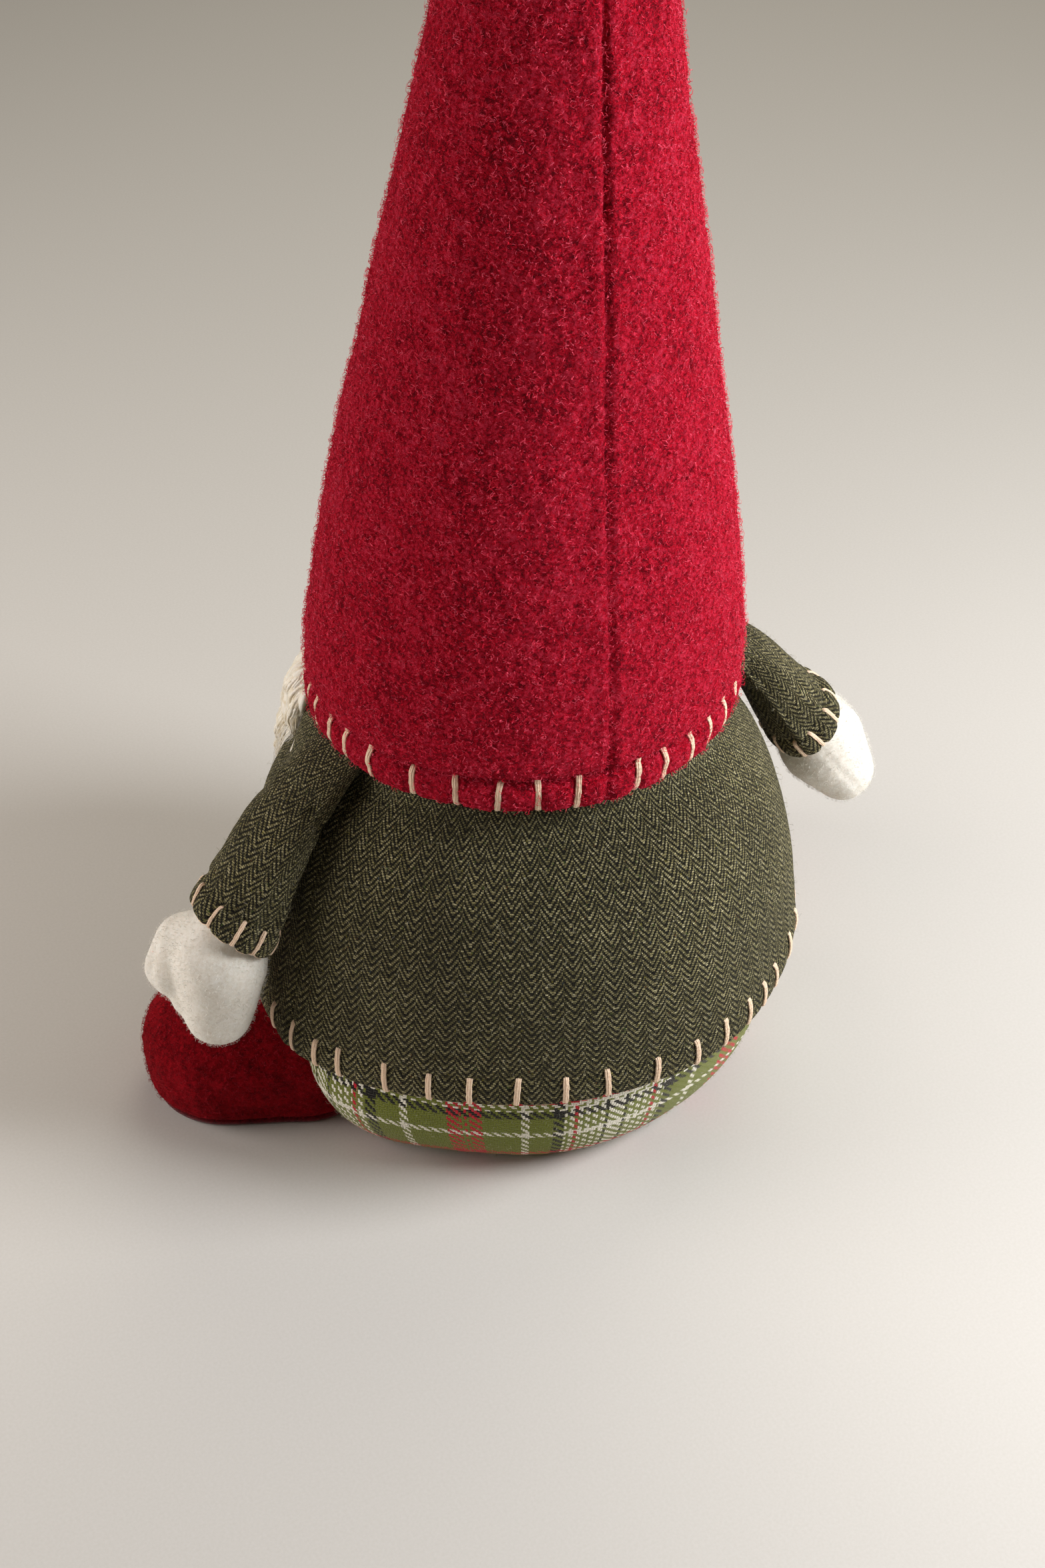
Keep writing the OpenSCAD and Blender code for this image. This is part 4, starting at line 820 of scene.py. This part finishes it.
def mitten(side, place, droop, seed):
    l = SLEEVE
    balls = chain((0, 0, -l + 7), (0, 0, -l), 9.4, 9.4, 6) + chain((0, 0.5, -l - 1), (-2, 2, -l - 11), 10.2, 14.0, 7) + chain((-2, 2, -l - 11), (-droop, 2, -l - 27), 14.0, 10.6, 12)
    balls += chain((0, -2.0, -l - 8.0), (1.0, -9.0, -l - 15.0), 11.0, 10.6, 7) + chain((1.0, -9.0, -l - 15.0), (0.5, -10.0, -l - 23.0), 10.6, 9.2, 7) + chain((-3, -5.5, -l - 14), (-droop * 0.6, -4.5, -l - 25.5), 12.0, 9.4, 8)
    co, faces = remeshed("m", balls, 1.05, 7)
    n = vertex_normals(co, faces)
    if (n * (co - co.mean(0))).sum() < 0: n = -n
    z = co[:, 2] + l
    d = 0.45 * fbm(co + seed * 13, 12.0, 2, 80 + seed) + 0.07 * noise(co, 2.2, 84 + seed) + 0.06 * noise(co, 1.1, 86 + seed)
    # side seam: the two layers meet round the edge of the hand
    edge = np.exp(-((co[:, 0] - (-2 - (-z) * 0.12)) / 0.8) ** 2) * smooth(0, -8, z) * smooth(0.5, 0.9, np.abs(n[:, 1]))
    d = d - 0.3 * edge
    crease = np.exp(-(((co[:, 1] + 9.5) * 0.8 + (z + 25) * 0.25) / 1.6) ** 2) * smooth(-10, -22, z) * smooth(0.2, 0.8, np.abs(n[:, 0])) * smooth(-4, 2, co[:, 0] + 6)
    d = d - 0.9 * crease
    co = co + n * (d * smooth(2, -3, z))[:, None]
    W = place(co); me_faces = faces if place is at_left else [f[::-1] for f in faces]
    ob = new_object(side + "_mitten_felt", W, me_faces, None, [mitten_felt])
    keep = lambda c: (np.linalg.norm(c - place(np.array([[0, 0, -l + 4.0]])), axis=1) > 9).astype(float)
    fz = fuzz_mesh(side + "_mitten_fuzz", W, me_faces, 3200, [white_fibre], (0.7, 2.0), (0.03, 0.06), 90 + seed, keep, lay=0.82)
    return ob, fz
left_mitten, left_mit_fuzz = mitten("left", at_left, 12, 1)
right_mitten, right_mit_fuzz = mitten("right", at_right, 5, 2)

# ------------------------------------------------------------------ feet
def place_foot(side):
    a = math.radians(-30 if side == "left" else -42)
    def f(P):
        P = np.asarray(P, float); x = P[..., 0] * math.cos(a) - P[..., 1] * math.sin(a); y = P[..., 0] * math.sin(a) + P[..., 1] * math.cos(a)
        return np.stack([x if side == "left" else -x, y, P[..., 2]], -1)
    return f
FN = 27.0; TOE = 92.0; PHI = math.atan2(27, 71)
def wall_at(z):
    return np.interp(z, [0, 1.6, 5.2, 10.5, 18, 28, 40, 46], [57.5, 61.5, 66.2, 70.2, 73.8, 76.6, 78.2, 78.6])
def against_seat(P, g):
    """Points inside the seat's wall are pushed out to it."""
    w = np.hypot(P[..., 0], P[..., 1]); lim = wall_at(P[..., 2]) + g; k = np.maximum(lim / np.maximum(w, 1), 1)
    return np.stack([P[..., 0] * k, P[..., 1] * k, P[..., 2]], -1)
def stadium(nu, scale_toe, scale_heel):
    """Outline directions and their centre line points: (centre x, angle)."""
    t = np.arange(nu) / nu * 2 * np.pi; straight = 24.0
    per = 2 * np.pi * 25 + 2 * straight; s = t / (2 * np.pi) * per; q = np.pi * 25 / 2
    ang = np.where(s < q, s / 25, np.where(s < q + straight, np.pi / 2, np.where(s < 3 * q + straight, (s - straight) / 25, np.where(s < 3 * q + 2 * straight, 3 * np.pi / 2, (s - 2 * straight) / 25))))
    cx = np.where(s < q, TOE, np.where(s < q + straight, TOE - (s - q), np.where(s < 3 * q + straight, TOE - straight, np.where(s < 3 * q + 2 * straight, TOE - straight + (s - 3 * q - straight), TOE))))
    return ang, cx, s
def foot(side, seed):
    place = place_foot(side); nu = 230
    ang, cx, su = stadium(nu, 25.6, 24.5)
    prof = np.array([[0.0, 3.2], [12, 3.2], [20, 3.2], [22.6, 3.4], [24.1, 4.6], [25.0, 7.0], [25.5, 10], [25.7, 14], [25.4, 19], [24.2, 24], [21.6, 28.8], [17.6, 32.8], [12.4, 35.6], [7, 37.1], [0.0, 37.6]])
    sl = np.concatenate([[0], np.cumsum(np.hypot(*np.diff(prof, axis=0).T))]); S = np.linspace(0, sl[-1], 72)
    rr, zz = cubic(S, sl, prof[:, 0]), cubic(S, sl, prof[:, 1])
    heel = (1 - 0.05 * smooth(TOE - 2, TOE - 22, cx))[:, None]
    P = np.stack([cx[:, None] + rr[None] * heel * np.cos(ang)[:, None], FN + rr[None] * heel * np.sin(ang)[:, None], np.broadcast_to(zz, (nu, 72)).copy()], -1)
    # keep the centre line a line: the middle points share the straight part
    Nn = grid_normals(P); sg = np.sign((Nn * (P - P.mean((0, 1)))).sum(-1).mean()); Nn *= sg
    rel = 0.8 * fbm(P + seed * 5, 17, 3, 100 + seed) + 0.28 * noise(P, 3.0, 102) + 0.2 * noise(P, 1.6, 103)
    rel = rel - 0.55 * np.exp(-((P[..., 2] - 8.6) / 0.9) ** 2) * (S > 24)[None]
    rel = rel * smooth(20, 27, S)[None] * smooth(0, 6, S[-1] - S)[None]
    P = P + Nn * rel[..., None]
    P = against_seat(P, 0.7)
    uvv = np.stack(np.broadcast_arrays(su[:, None], S[None]), -1) * MM
    ob = grid_object(side + "_shoe_felt", place(P), uvv, [shoe_felt], cap0=True, cap1=True)
    bm = bmesh.new(); bm.from_mesh(ob.data); bmesh.ops.remove_doubles(bm, verts=bm.verts, dist=0.00012); bmesh.ops.recalc_face_normals(bm, faces=bm.faces); bm.to_mesh(ob.data); bm.free()
    # sole: a flat felt piece with a soft edge
    sp = np.array([[0.0, 0.15], [14, 0.15], [21.2, 0.15], [22.3, 0.5], [22.7, 1.5], [22.3, 2.6], [21, 3.0], [12, 3.0], [0.0, 3.0]]); s2 = np.concatenate([[0], np.cumsum(np.hypot(*np.diff(sp, axis=0).T))])
    S2 = np.linspace(0, s2[-1], 40); r2, z2 = cubic(S2, s2, sp[:, 0]), cubic(S2, s2, sp[:, 1])
    Q = np.stack([cx[:, None] + r2[None] * heel * np.cos(ang)[:, None], FN + r2[None] * heel * np.sin(ang)[:, None], np.broadcast_to(z2, (nu, 40)).copy()], -1)
    Q[..., 2] += 0.12 * noise(Q, 5, 105) * (z2 > 2)[None]; Q = against_seat(Q, 1.0)
    so = grid_object(side + "_sole_felt", place(Q), np.stack(np.broadcast_arrays(su[:, None], S2[None]), -1) * MM, [sole_felt], cap0=True, cap1=True)
    bm = bmesh.new(); bm.from_mesh(so.data); bmesh.ops.remove_doubles(bm, verts=bm.verts, dist=0.00012); bmesh.ops.recalc_face_normals(bm, faces=bm.faces); bm.to_mesh(so.data); bm.free()
    W = place(P); Nw = grid_normals(W); Nw *= np.sign((Nw * (W - W.mean((0, 1)))).sum(-1).mean())
    lo = 24; fz = fur(side + "_shoe_fuzz", W[:, lo:], Nw[:, lo:], S[lo:], 5200, [shoe_fibre], (0.7, 1.7), (0.05, 0.1), seed=110 + seed)
    # short cloth leg from the seat into the shoe
    tt = np.arange(64) / 64 * 2 * np.pi; xs = np.linspace(58, 92, 18)
    L = np.stack([np.broadcast_to(xs, (64, 18)), FN + 10.8 * np.cos(tt)[:, None] + 0 * xs, 18 + 10.8 * np.sin(tt)[:, None] + 0 * xs], -1)
    L = L + 0.3 * noise(L, 6, 107)[..., None] * np.array([0, 1, 1])
    L = against_seat(L, 0.4); leg = grid_object(side + "_leg_flannel", place(L), np.stack(np.broadcast_arrays((tt * 10.8)[:, None], xs[None]), -1) * MM, [tartan], cap0=True, cap1=True)
    return ob, so, fz, leg
left_shoe, left_sole, left_shoe_fuzz, left_leg = foot("left", 1)
right_shoe, right_sole, right_shoe_fuzz, right_leg = foot("right", 2)

# ------------------------------------------------------------------ face
BEARD = [[57.6, 131], [58.3, 128.8], [63.8, 126.2], [69.5, 124.5], [76, 119.5], [82, 111.5], [86.8, 101], [90.2, 88], [92.4, 74], [93.6, 60], [94, 48]]
bp = np.array(BEARD); BZ, BR = bp[::-1, 1], bp[::-1, 0]
NOSE = np.array([0.0, -77.0, 113.0]); NR = 14.5
def coat_radius(z):
    c = np.array(COAT_P); return np.interp(z, c[:, 1], c[:, 0])
def beard_low(x):
    """Height of the beard's lower outline at sideways place x."""
    q = np.clip(np.abs(x) / 60.0, 0, 1); return 98 - 52 * np.power(np.maximum(1 - q * q, 0), 0.45)
SIDE = np.array([[58.5, 132], [65.0, 129], [70.5, 125.5], [72.8, 120.5], [73.2, 115], [71.8, 108], [72.6, 102], [79.0, 94], [83.0, 84], [85.2, 74], [87.0, 62], [88.2, 48]])[::-1]
def beard_radius(z, a):
    """Outer radius of the beard at height z, a degrees round from the front: full in the middle, close to the coat at the sides."""
    w = smooth(20, 44, np.abs(a)); R = np.interp(z, BZ, BR) * (1 - w) + np.interp(z, SIDE[:, 1], SIDE[:, 0]) * w
    e = smooth(46, 54, np.abs(a)); return R * (1 - e) + (coat_side(z, a) + 3.2) * e
def coat_side(z, a):
    return coat_radius(z) - 4.2 * np.exp(-((z - 104) / 9.0) ** 2) * np.exp(-((np.abs(a) - 50) / 22.0) ** 2)

def nose():
    nu, nv = 200, 110; th = np.arange(nu) / nu * 2 * np.pi; ph = np.linspace(0.03, np.pi - 0.03, nv)
    X = np.sin(ph)[None] * np.cos(th)[:, None]; Z = np.sin(ph)[None] * np.sin(th)[:, None]; Y = -np.broadcast_to(np.cos(ph), X.shape)
    dirs = np.stack([X, Y, Z], -1); r = NR * np.array([1.0, 0.97, 0.96])
    P = dirs * r; P = P + dirs * (0.35 * fbm(P, 12, 2, 120) + 0.10 * noise(P, 1.4, 121))[..., None]
    # gathered at the back, where it is sewn on
    back = smooth(0.45, 0.95, Y); P = P * (1 - 0.10 * back)[..., None]; P[..., 1] = np.minimum(P[..., 1], 9.5)
    P = P + NOSE
    uv = np.stack([np.broadcast_to((th * NR)[:, None], P.shape[:2]), np.broadcast_to((ph * NR)[None], P.shape[:2])], -1) * MM
    return grid_object("nose_knit_ball", P, uv, [knit], cap0=True, cap1=True)
nose_ob = nose()

def beard():
    """Wool locks in layers: each starts under the hat's brim or the nose and follows the belly down to the beard's outline."""
    r = np.random.default_rng(200)
    def lock(T, a0, z_top, z_end, rad, depth, wob, ph, turns, sides=14, drift=0.0):
        m = 34; t = np.linspace(0, 1, m); z = z_top + (z_end - z_top) * t
        aa = a0 + 90; R = beard_radius(z, aa) - depth * (1 - 0.55 * smooth(20, 44, abs(aa))) - rad * 0.35; R = np.maximum(R, coat_side(z, aa) + rad * 0.45)
        amp = wob * smooth(0.08, 0.4, t) * (1 - 0.25 * t)
        side = amp * np.sin(2 * np.pi * turns * t + ph) + drift * t * t; inout = 0.55 * amp * np.cos(2 * np.pi * turns * t + ph)
        a = math.radians(a0) + side / np.maximum(R, 30); R = R + inout * 0.6
        p = np.stack([R * np.cos(a), R * np.sin(a), z], -1)
        env = np.minimum(smooth(-0.06, 0.22, t) * 0.55 + 0.45, 1) * (1 - smooth(0.6, 1.0, t) * 0.8)
        rr = rad * env * (1 + 0.10 * np.sin(2 * np.pi * turns * 2 * t + ph * 1.7))
        tg = np.gradient(p, axis=0); tg /= np.linalg.norm(tg, axis=1, keepdims=True)
        o = np.stack([np.cos(a), np.sin(a), 0 * a], -1); o = o - tg * (o * tg).sum(1, keepdims=True); o /= np.linalg.norm(o, axis=1, keepdims=True); s = np.cross(tg, o)
        th = np.arange(sides) / sides * 2 * np.pi; k1, k2 = r.integers(3, 6), r.integers(2, 4); tw = r.uniform(-2.5, 2.5)
        groove = 1 + 0.10 * np.cos(k1 * th[None] + tw * 3 * t[:, None] + ph) + 0.06 * np.cos(k2 * th[None] - tw * 4 * t[:, None])
        ring = p[:, None] + (rr[:, None] * groove)[..., None] * (np.cos(th)[None, :, None] * s[:, None] * 1.12 + np.sin(th)[None, :, None] * o[:, None] * 0.8)
        base = T.n; T.v.append(ring.reshape(-1, 3)); T.v.append(p[:1] - tg[:1] * rad * 0.2); T.v.append(p[-1:] + tg[-1:] * rad * 0.35)
        k, q = np.meshgrid(np.arange(m - 1), np.arange(sides), indexing="ij"); q2 = (q + 1) % sides
        T.f += (base + np.stack([k * sides + q, k * sides + q2, (k + 1) * sides + q2, (k + 1) * sides + q], -1)).reshape(-1, 4).tolist()
        c0, c1 = base + m * sides, base + m * sides + 1
        for i in range(sides):
            j = (i + 1) % sides; T.f.append([base + j, base + i, c0]); T.f.append([base + (m - 1) * sides + i, base + (m - 1) * sides + j, c1])
        L = np.concatenate([[0], np.cumsum(np.linalg.norm(np.diff(p, axis=0), axis=1))])
        uvs = np.stack([np.broadcast_to(th[None] * rad + a0 * 3.1, (m, sides)), np.broadcast_to(L[:, None] + ph * 20, (m, sides))], -1).reshape(-1, 2) * MM
        T.uv += [uvs, uvs[:1], uvs[-1:]]; T.n += m * sides + 2
        return p, rr, o, s, tg
    layers = []
    for (n, depth, rad, lift, a_max, zt) in ((38, 3.6, 4.4, 0.0, 52, 128), (34, 2.4, 4.0, 3, 52, 130), (27, 1.4, 3.5, 9, 48, 130.5), (14, 0.6, 3.0, 22, 40, 130.5)):
        T = Tubes()
        for k in range(n):
            a = -a_max + 2 * a_max * (k + 0.5) / n + r.uniform(-1.3, 1.3); x = 88 * math.sin(math.radians(a))
            ze = float(beard_low(x)) + 4 + lift * r.uniform(0.4, 1.0) + r.uniform(-1.5, 3.5)
            lock(T, a - 90, zt - (8 if abs(a) < 12 else 0), max(min(ze, 99), 99 + 6 * float(smooth(42, 51, abs(a)))), rad * r.uniform(0.8, 1.15) * (1 - 0.5 * float(smooth(36, 46, abs(a)))), depth, r.uniform(1.2, 2.8), r.uniform(0, 6.28), r.uniform(1.0, 1.8), drift=-0.10 * a + r.uniform(-2, 2))
        layers.append(T.object("beard_locks_%d" % len(layers), [beard_wool]))
    # moustache: two tufts that part under the nose
    T = Tubes()
    for sgn in (-1, 1):
        for k in range(9):
            m = 26; t = np.linspace(0, 1, m); x = sgn * (3 + 34 * t ** 0.9 + k * 0.3); z = 106 - k * 1.9 - 15 * t ** 1.6 + 2.2 * np.sin(3.2 * t + k)
            R = np.interp(z, BZ, BR) + 1.2 - 0.25 * k * 0 + 0.9 * np.sin(2.5 * t + k * 0.7); y = -np.sqrt(np.maximum(R * R - x * x, 1)); p = np.stack([x, y, z], -1)
            rad = 3.4 * (0.6 + 0.4 * smooth(0, 0.2, t)) * (1 - 0.85 * smooth(0.5, 1, t)); T.add(p, rad, sides=10, flat=0.8, up=[0, -1, 0])
    mo = T.object("moustache_locks", [beard_wool])
    # the wool pad under the locks
    na, nz = 120, 56; a = np.linspace(-53, 53, na); rows = np.linspace(0, 1, nz)
    xe = 88 * np.sin(np.radians(a)); lo = np.maximum(beard_low(xe) + 9, 52); z = 130.0 + (lo - 130.0)[:, None] * rows[None]
    edge = (np.clip(1 - (np.abs(a) / 53) ** 6, 0, 1) * 0.95 + 0.05)[:, None]; tip = (1 - smooth(0.75, 1, rows))[None] * 0.85 + 0.15
    Ri = coat_side(z, a[:, None]) + 0.6; Ro = beard_radius(z, a[:, None]) - 3.0; Ro = Ri + np.maximum(Ro - Ri, 0.8) * edge * tip
    ar = np.radians(a - 90)[:, None]
    out = np.stack([Ro * np.cos(ar), Ro * np.sin(ar), z], -1); inn = np.stack([Ri * np.cos(ar), Ri * np.sin(ar), z], -1)
    rel = 0.9 * noise(out * np.array([1, 1, 0.18]), 2.6, 210); out = out + np.stack([np.cos(ar) + 0 * z, np.sin(ar) + 0 * z, 0 * z], -1) * rel[..., None] * edge[..., None]
    loop = np.concatenate([out, inn[:, ::-1]], 1); nl = loop.shape[1]
    faces = grid_faces(na, nl, False, True).tolist(); faces.append(list(range(nl))[::-1]); faces.append([(na - 1) * nl + k for k in range(nl)])
    uv = np.stack([np.broadcast_to((np.radians(a) * 85)[:, None], (na, nl)), np.broadcast_to(np.concatenate([rows, rows[::-1]])[None] * 80, (na, nl))], -1).reshape(-1, 2) * MM
    pad = new_object("beard_wool_pad", loop.reshape(-1, 3), faces, uv, [beard_wool])
    bm = bmesh.new(); bm.from_mesh(pad.data); bmesh.ops.recalc_face_normals(bm, faces=bm.faces); bm.to_mesh(pad.data); bm.free()
    # fine single hairs over the locks
    n = 900; T = Tubes(); rr = np.random.default_rng(220)
    for k in range(n):
        a0 = rr.uniform(-49, 49); x = 88 * math.sin(math.radians(a0)); zl = float(beard_low(x)) + 4; z0 = rr.uniform(min(zl + 22, 126), 128); Ln = rr.uniform(12, 30); m = 9; t = np.linspace(0, 1, m)
        z = np.maximum(z0 - Ln * t, zl - 2); R = beard_radius(z, a0) - 1.4 + rr.uniform(-0.8, 0.8) + 0.5 * np.sin(5 * t + rr.uniform(0, 6)); aa = np.radians(a0 - 90) + rr.uniform(1, 2.5) / 88 * np.sin(rr.uniform(4, 8) * t + rr.uniform(0, 6))
        T.add(np.stack([R * np.cos(aa), R * np.sin(aa), z], -1), 0.10 * (1 - 0.6 * t), sides=3)
    hairs = T.object("beard_fine_hairs", [white_fibre])
    # combed wavy strands that lie over the locks, closer together at the sides
    T = Tubes(); rr = np.random.default_rng(230); m = 13; t = np.linspace(0, 1, m)
    for k in range(1850):
        a0 = (rr.uniform(31, 46) if k < 500 else rr.uniform(33, 53)) * (1 if k % 3 else -1) if k < 1400 else rr.uniform(-38, 38)
        x = 88 * math.sin(math.radians(a0)); zl = max(min(float(beard_low(x)) + 6, 101), 101 + 5 * float(smooth(42, 51, abs(a0)))) if abs(a0) > 36 else float(beard_low(x)) + 6
        z0 = rr.uniform(122, 130) if abs(a0) > 14 else rr.uniform(92, 98); z1 = zl + rr.uniform(-1.5, 7) * (1 - 0.4 * float(smooth(40, 50, abs(a0)))); z = z0 + (z1 - z0) * t
        wave = np.sin(2 * np.pi * z / 13.0 + 0.22 * a0 + 0.8 * math.sin(0.5 * a0)); R = np.maximum(beard_radius(z, a0) - 0.9 + rr.uniform(0.0, 2.2) * smooth(0.1, 0.4, t) * (1 - smooth(0.8, 1, t)) + 0.5 * wave + rr.uniform(-0.5, 0.3), coat_side(z, a0) + 0.8) - 0.8 * smooth(0.7, 1, t)
        aa = np.radians(a0 - 90) + (1.3 * np.cos(2 * np.pi * z / 13.0 + 0.22 * a0 + 0.8 * math.sin(0.5 * a0)) * smooth(0, 0.3, t) - 0.05 * a0 * t * t) / 80
        T.add(np.stack([R * np.cos(aa), R * np.sin(aa), z], -1), rr.uniform(0.30, 0.66) * (1 - 0.7 * smooth(0.65, 1, t)), sides=4)
    strands = T.object("beard_strands", [cream_fibre])
    return [*layers, strands], mo, pad, hairs
beard_layers, moustache, beard_pad, beard_hairs = beard()

# ------------------------------------------------------------------ CAD parts that stay
board_m = plain_material("pressed_board", lin(150, 118, 78), lin(186, 152, 108), 0.9, (1, 1, 1), 0.8, 0.4, 0.0)
pellet_m = plain_material("calico_bag", lin(196, 188, 168), lin(222, 216, 198), 0.6, (1, 1, 1), 0.9, 0.6)
fill_m = plain_material("polyester_fibre", lin(222, 220, 214), lin(250, 249, 246), 1.6, (1, 1, 0.5), 0.95, 0.9, 0.3)
lining_m = plain_material("cotton_lining_cloth", lin(206, 198, 182), lin(228, 222, 208), 0.35, (2.2, 1, 0.4), 0.9, 0.4)
tape_m = plain_material("beard_tape_cloth", lin(214, 202, 178), lin(236, 228, 208), 0.5, (1, 1, 3), 0.9, 0.5)
def beard_tape():
    """The woven tape that the beard is sewn to: a flat band round the upper front of the coat."""
    n = 64; a = np.linspace(-45, 45, n); z = np.array([128.6, 124.0, 119.4]); zz = np.broadcast_to(z[None], (n, 3)); R = coat_side(zz, np.broadcast_to(a[:, None], (n, 3)))
    ar = np.broadcast_to(np.radians(a - 90)[:, None], (n, 3)); put = lambda q: np.stack([(R + q) * np.cos(ar), (R + q) * np.sin(ar), zz], -1)
    loop = np.concatenate([put(0.55), put(0.15)[:, ::-1]], 1); nl = 6
    faces = grid_faces(n, nl, False, True).tolist(); faces.append(list(range(nl))[::-1]); faces.append([(n - 1) * nl + k for k in range(nl)])
    uv = np.stack([np.broadcast_to((np.radians(a) * 72)[:, None], (n, nl)), np.broadcast_to(np.array([0, 4.6, 9.2, 9.2, 4.6, 0.0])[None], (n, nl))], -1).reshape(-1, 2) * MM
    ob = new_object("beard_tape_band", loop.reshape(-1, 3), faces, uv, [tape_m])
    bm = bmesh.new(); bm.from_mesh(ob.data); bmesh.ops.recalc_face_normals(bm, faces=bm.faces); bm.to_mesh(ob.data); bm.free()
    return ob
beard_tape_ob = beard_tape()
for n, m in (("base_board", board_m), ("ballast_bag", pellet_m), ("body_filling", fill_m), ("torso_bag", lining_m)):
    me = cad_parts[n].data; me.materials.clear(); me.materials.append(m)

# every closed piece faces outward
for ob in (coat, hat, seat, nose_ob, moustache, beard_pad, *beard_layers, left_sleeve, right_sleeve, left_mitten, right_mitten, left_shoe, right_shoe, left_sole, right_sole, left_leg, right_leg):
    me = ob.data; me.calc_loop_triangles(); co = np.empty(len(me.vertices) * 3, np.float32); me.vertices.foreach_get("co", co); co = co.reshape(-1, 3).astype(float); co -= co.mean(0)
    tri = np.empty(len(me.loop_triangles) * 3, np.int32); me.loop_triangles.foreach_get("vertices", tri); tri = tri.reshape(-1, 3)
    if np.einsum("ij,ij->i", co[tri[:, 0]], np.cross(co[tri[:, 1]], co[tri[:, 2]])).sum() < 0: me.flip_normals()

# ------------------------------------------------------------------ joining pieces to the body empties, baking the rest in place
for ob in (coat, coat_threads, coat_fur, hat, hat_threads, *hat_furs, seat, seat_fuzz, nose_ob, moustache, beard_pad, beard_tape_ob, beard_hairs, *beard_layers):
    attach(ob, "torso")
for side, sl, cf, fz, mt, mf in (("left", left_sleeve, left_cuff, left_sl_fuzz, left_mitten, left_mit_fuzz), ("right", right_sleeve, right_cuff, right_sl_fuzz, right_mitten, right_mit_fuzz)):
    place = at_left if side == "left" else at_right
    a, b = place(np.array([[0, 0, 5.0]]))[0] * MM, place(np.array([[0, 0, -11.0]]))[0] * MM
    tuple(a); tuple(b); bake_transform(sl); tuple(a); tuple(b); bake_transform(fz)
    for ob in (cf, mt, mf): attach(ob, side + "_arm")
    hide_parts(side + "_sleeve", side + "_sleeve_filling"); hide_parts(side + "_mitten", side + "_mitten_filling"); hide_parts(side + "_cuff_stitches")
for side, sh, so, fz, lg in (("left", left_shoe, left_sole, left_shoe_fuzz, left_leg), ("right", right_shoe, right_sole, right_shoe_fuzz, right_leg)):
    pf = place_foot(side); b0, b1 = pf(np.array([[70.0, 26.6, 17.0]]))[0] * MM, pf(np.array([[88.0, 33.4, 17.0]]))[0] * MM
    for ob in (sh, so, fz, lg): tuple(b0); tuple(b1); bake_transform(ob)
    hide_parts(side + "_shoe_upper", side + "_shoe_filling"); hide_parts(side + "_shoe_sole"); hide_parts(side + "_trouser_leg")
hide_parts("coat"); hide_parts("coat_hem_stitches"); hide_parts("hat", "hat_filling"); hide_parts("hat_hem_stitches")
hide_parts("tartan_seat", "seat_panel"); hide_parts("nose_cover", "nose_filling"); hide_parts("beard_locks"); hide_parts("beard_backing")
for ob, s in ((coat, "tweed"), (coat_fur, "tweed"), (coat_threads, "thread"), (hat, "red_felt"), *((f, "red_felt") for f in hat_furs), (hat_threads, "thread"), (seat, "tartan_flannel"), (seat_fuzz, "tartan_flannel"),
              (nose_ob, "nose_knit"), (beard_pad, "cream_wool"), (beard_tape_ob, "beard_tape"), (moustache, "cream_wool"), (beard_hairs, "cream_wool"), *((b, "cream_wool") for b in beard_layers)):
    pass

# ------------------------------------------------------------------ floor, light, camera
def floor():
    me = bpy.data.meshes.new("floor"); s = 8.0
    me.from_pydata([(-s, -s, 0), (s, -s, 0), (s, s, 0), (-s, s, 0)], [], [(0, 1, 2, 3)]); me.update()
    ob = bpy.data.objects.new("floor", me); bpy.context.scene.collection.objects.link(ob)
    M = Mat("pale_floor"); P = M.obj(); n = M.noise(P, 0.9, 3.0, 0.6)
    col = M.ramp(n, [(0.3, lin(205, 202, 197)), (0.7, lin(210, 207, 203))])
    me.materials.append(M.done(col, None, 0.8, spec=0.15)); return ob
floor_ob = floor()

def area(name, loc, target, size, power, color, spread=None):
    l = bpy.data.lights.new(name, "AREA"); l.shape = "DISK"; l.size = size; l.energy = power; l.color = color
    o = bpy.data.objects.new(name, l); bpy.context.scene.collection.objects.link(o)
    o.location = loc; o.rotation_euler = (Vector(target) - Vector(loc)).to_track_quat("-Z", "Y").to_euler()
    return o
RIGHT = np.array([-0.866, 0.5, 0]); NEAR = np.array([0.5, 0.866, 0]); UP = np.array([0, 0, 1.0])
def at(r, n, u): return tuple(RIGHT * r + NEAR * n + UP * u)
area("key", at(0.60, 0.13, 0.48), (0, 0, 0.08), 0.35, 7.1, (0.98, 0.99, 1.0))
area("back", at(0.25, -0.85, 1.15), (0, 0, 0.08), 1.1, 5.6, (1.0, 0.94, 0.80))
area("fill", at(-0.8, 0.08, 0.35), (0, 0, 0.08), 0.6, 4.8, (1.0, 0.94, 0.90))
w = bpy.data.worlds.new("soft"); bpy.context.scene.world = w; w.use_nodes = True
w.node_tree.nodes["Background"].inputs[0].default_value = (1.0, 0.86, 0.68, 1); w.node_tree.nodes["Background"].inputs[1].default_value = 0.11

cam = bpy.data.cameras.new("camera"); co = bpy.data.objects.new("camera", cam); bpy.context.scene.collection.objects.link(co)
az, el, dist = math.radians(150), math.radians(38), 0.784
tgt = Vector((0, 0, 0.095)); loc = tgt + Vector((math.sin(az) * math.cos(el), -math.cos(az) * math.cos(el), math.sin(el))) * dist
co.location = loc; co.rotation_euler = (tgt - loc).to_track_quat("-Z", "Y").to_euler()
cam.lens = 60.0; cam.sensor_width = 36.0; cam.sensor_height = 36.0; cam.sensor_fit = "AUTO"; cam.clip_start = 0.01; cam.clip_end = 50
bpy.context.scene.camera = co
bpy.context.scene.view_settings.view_transform = "Standard"
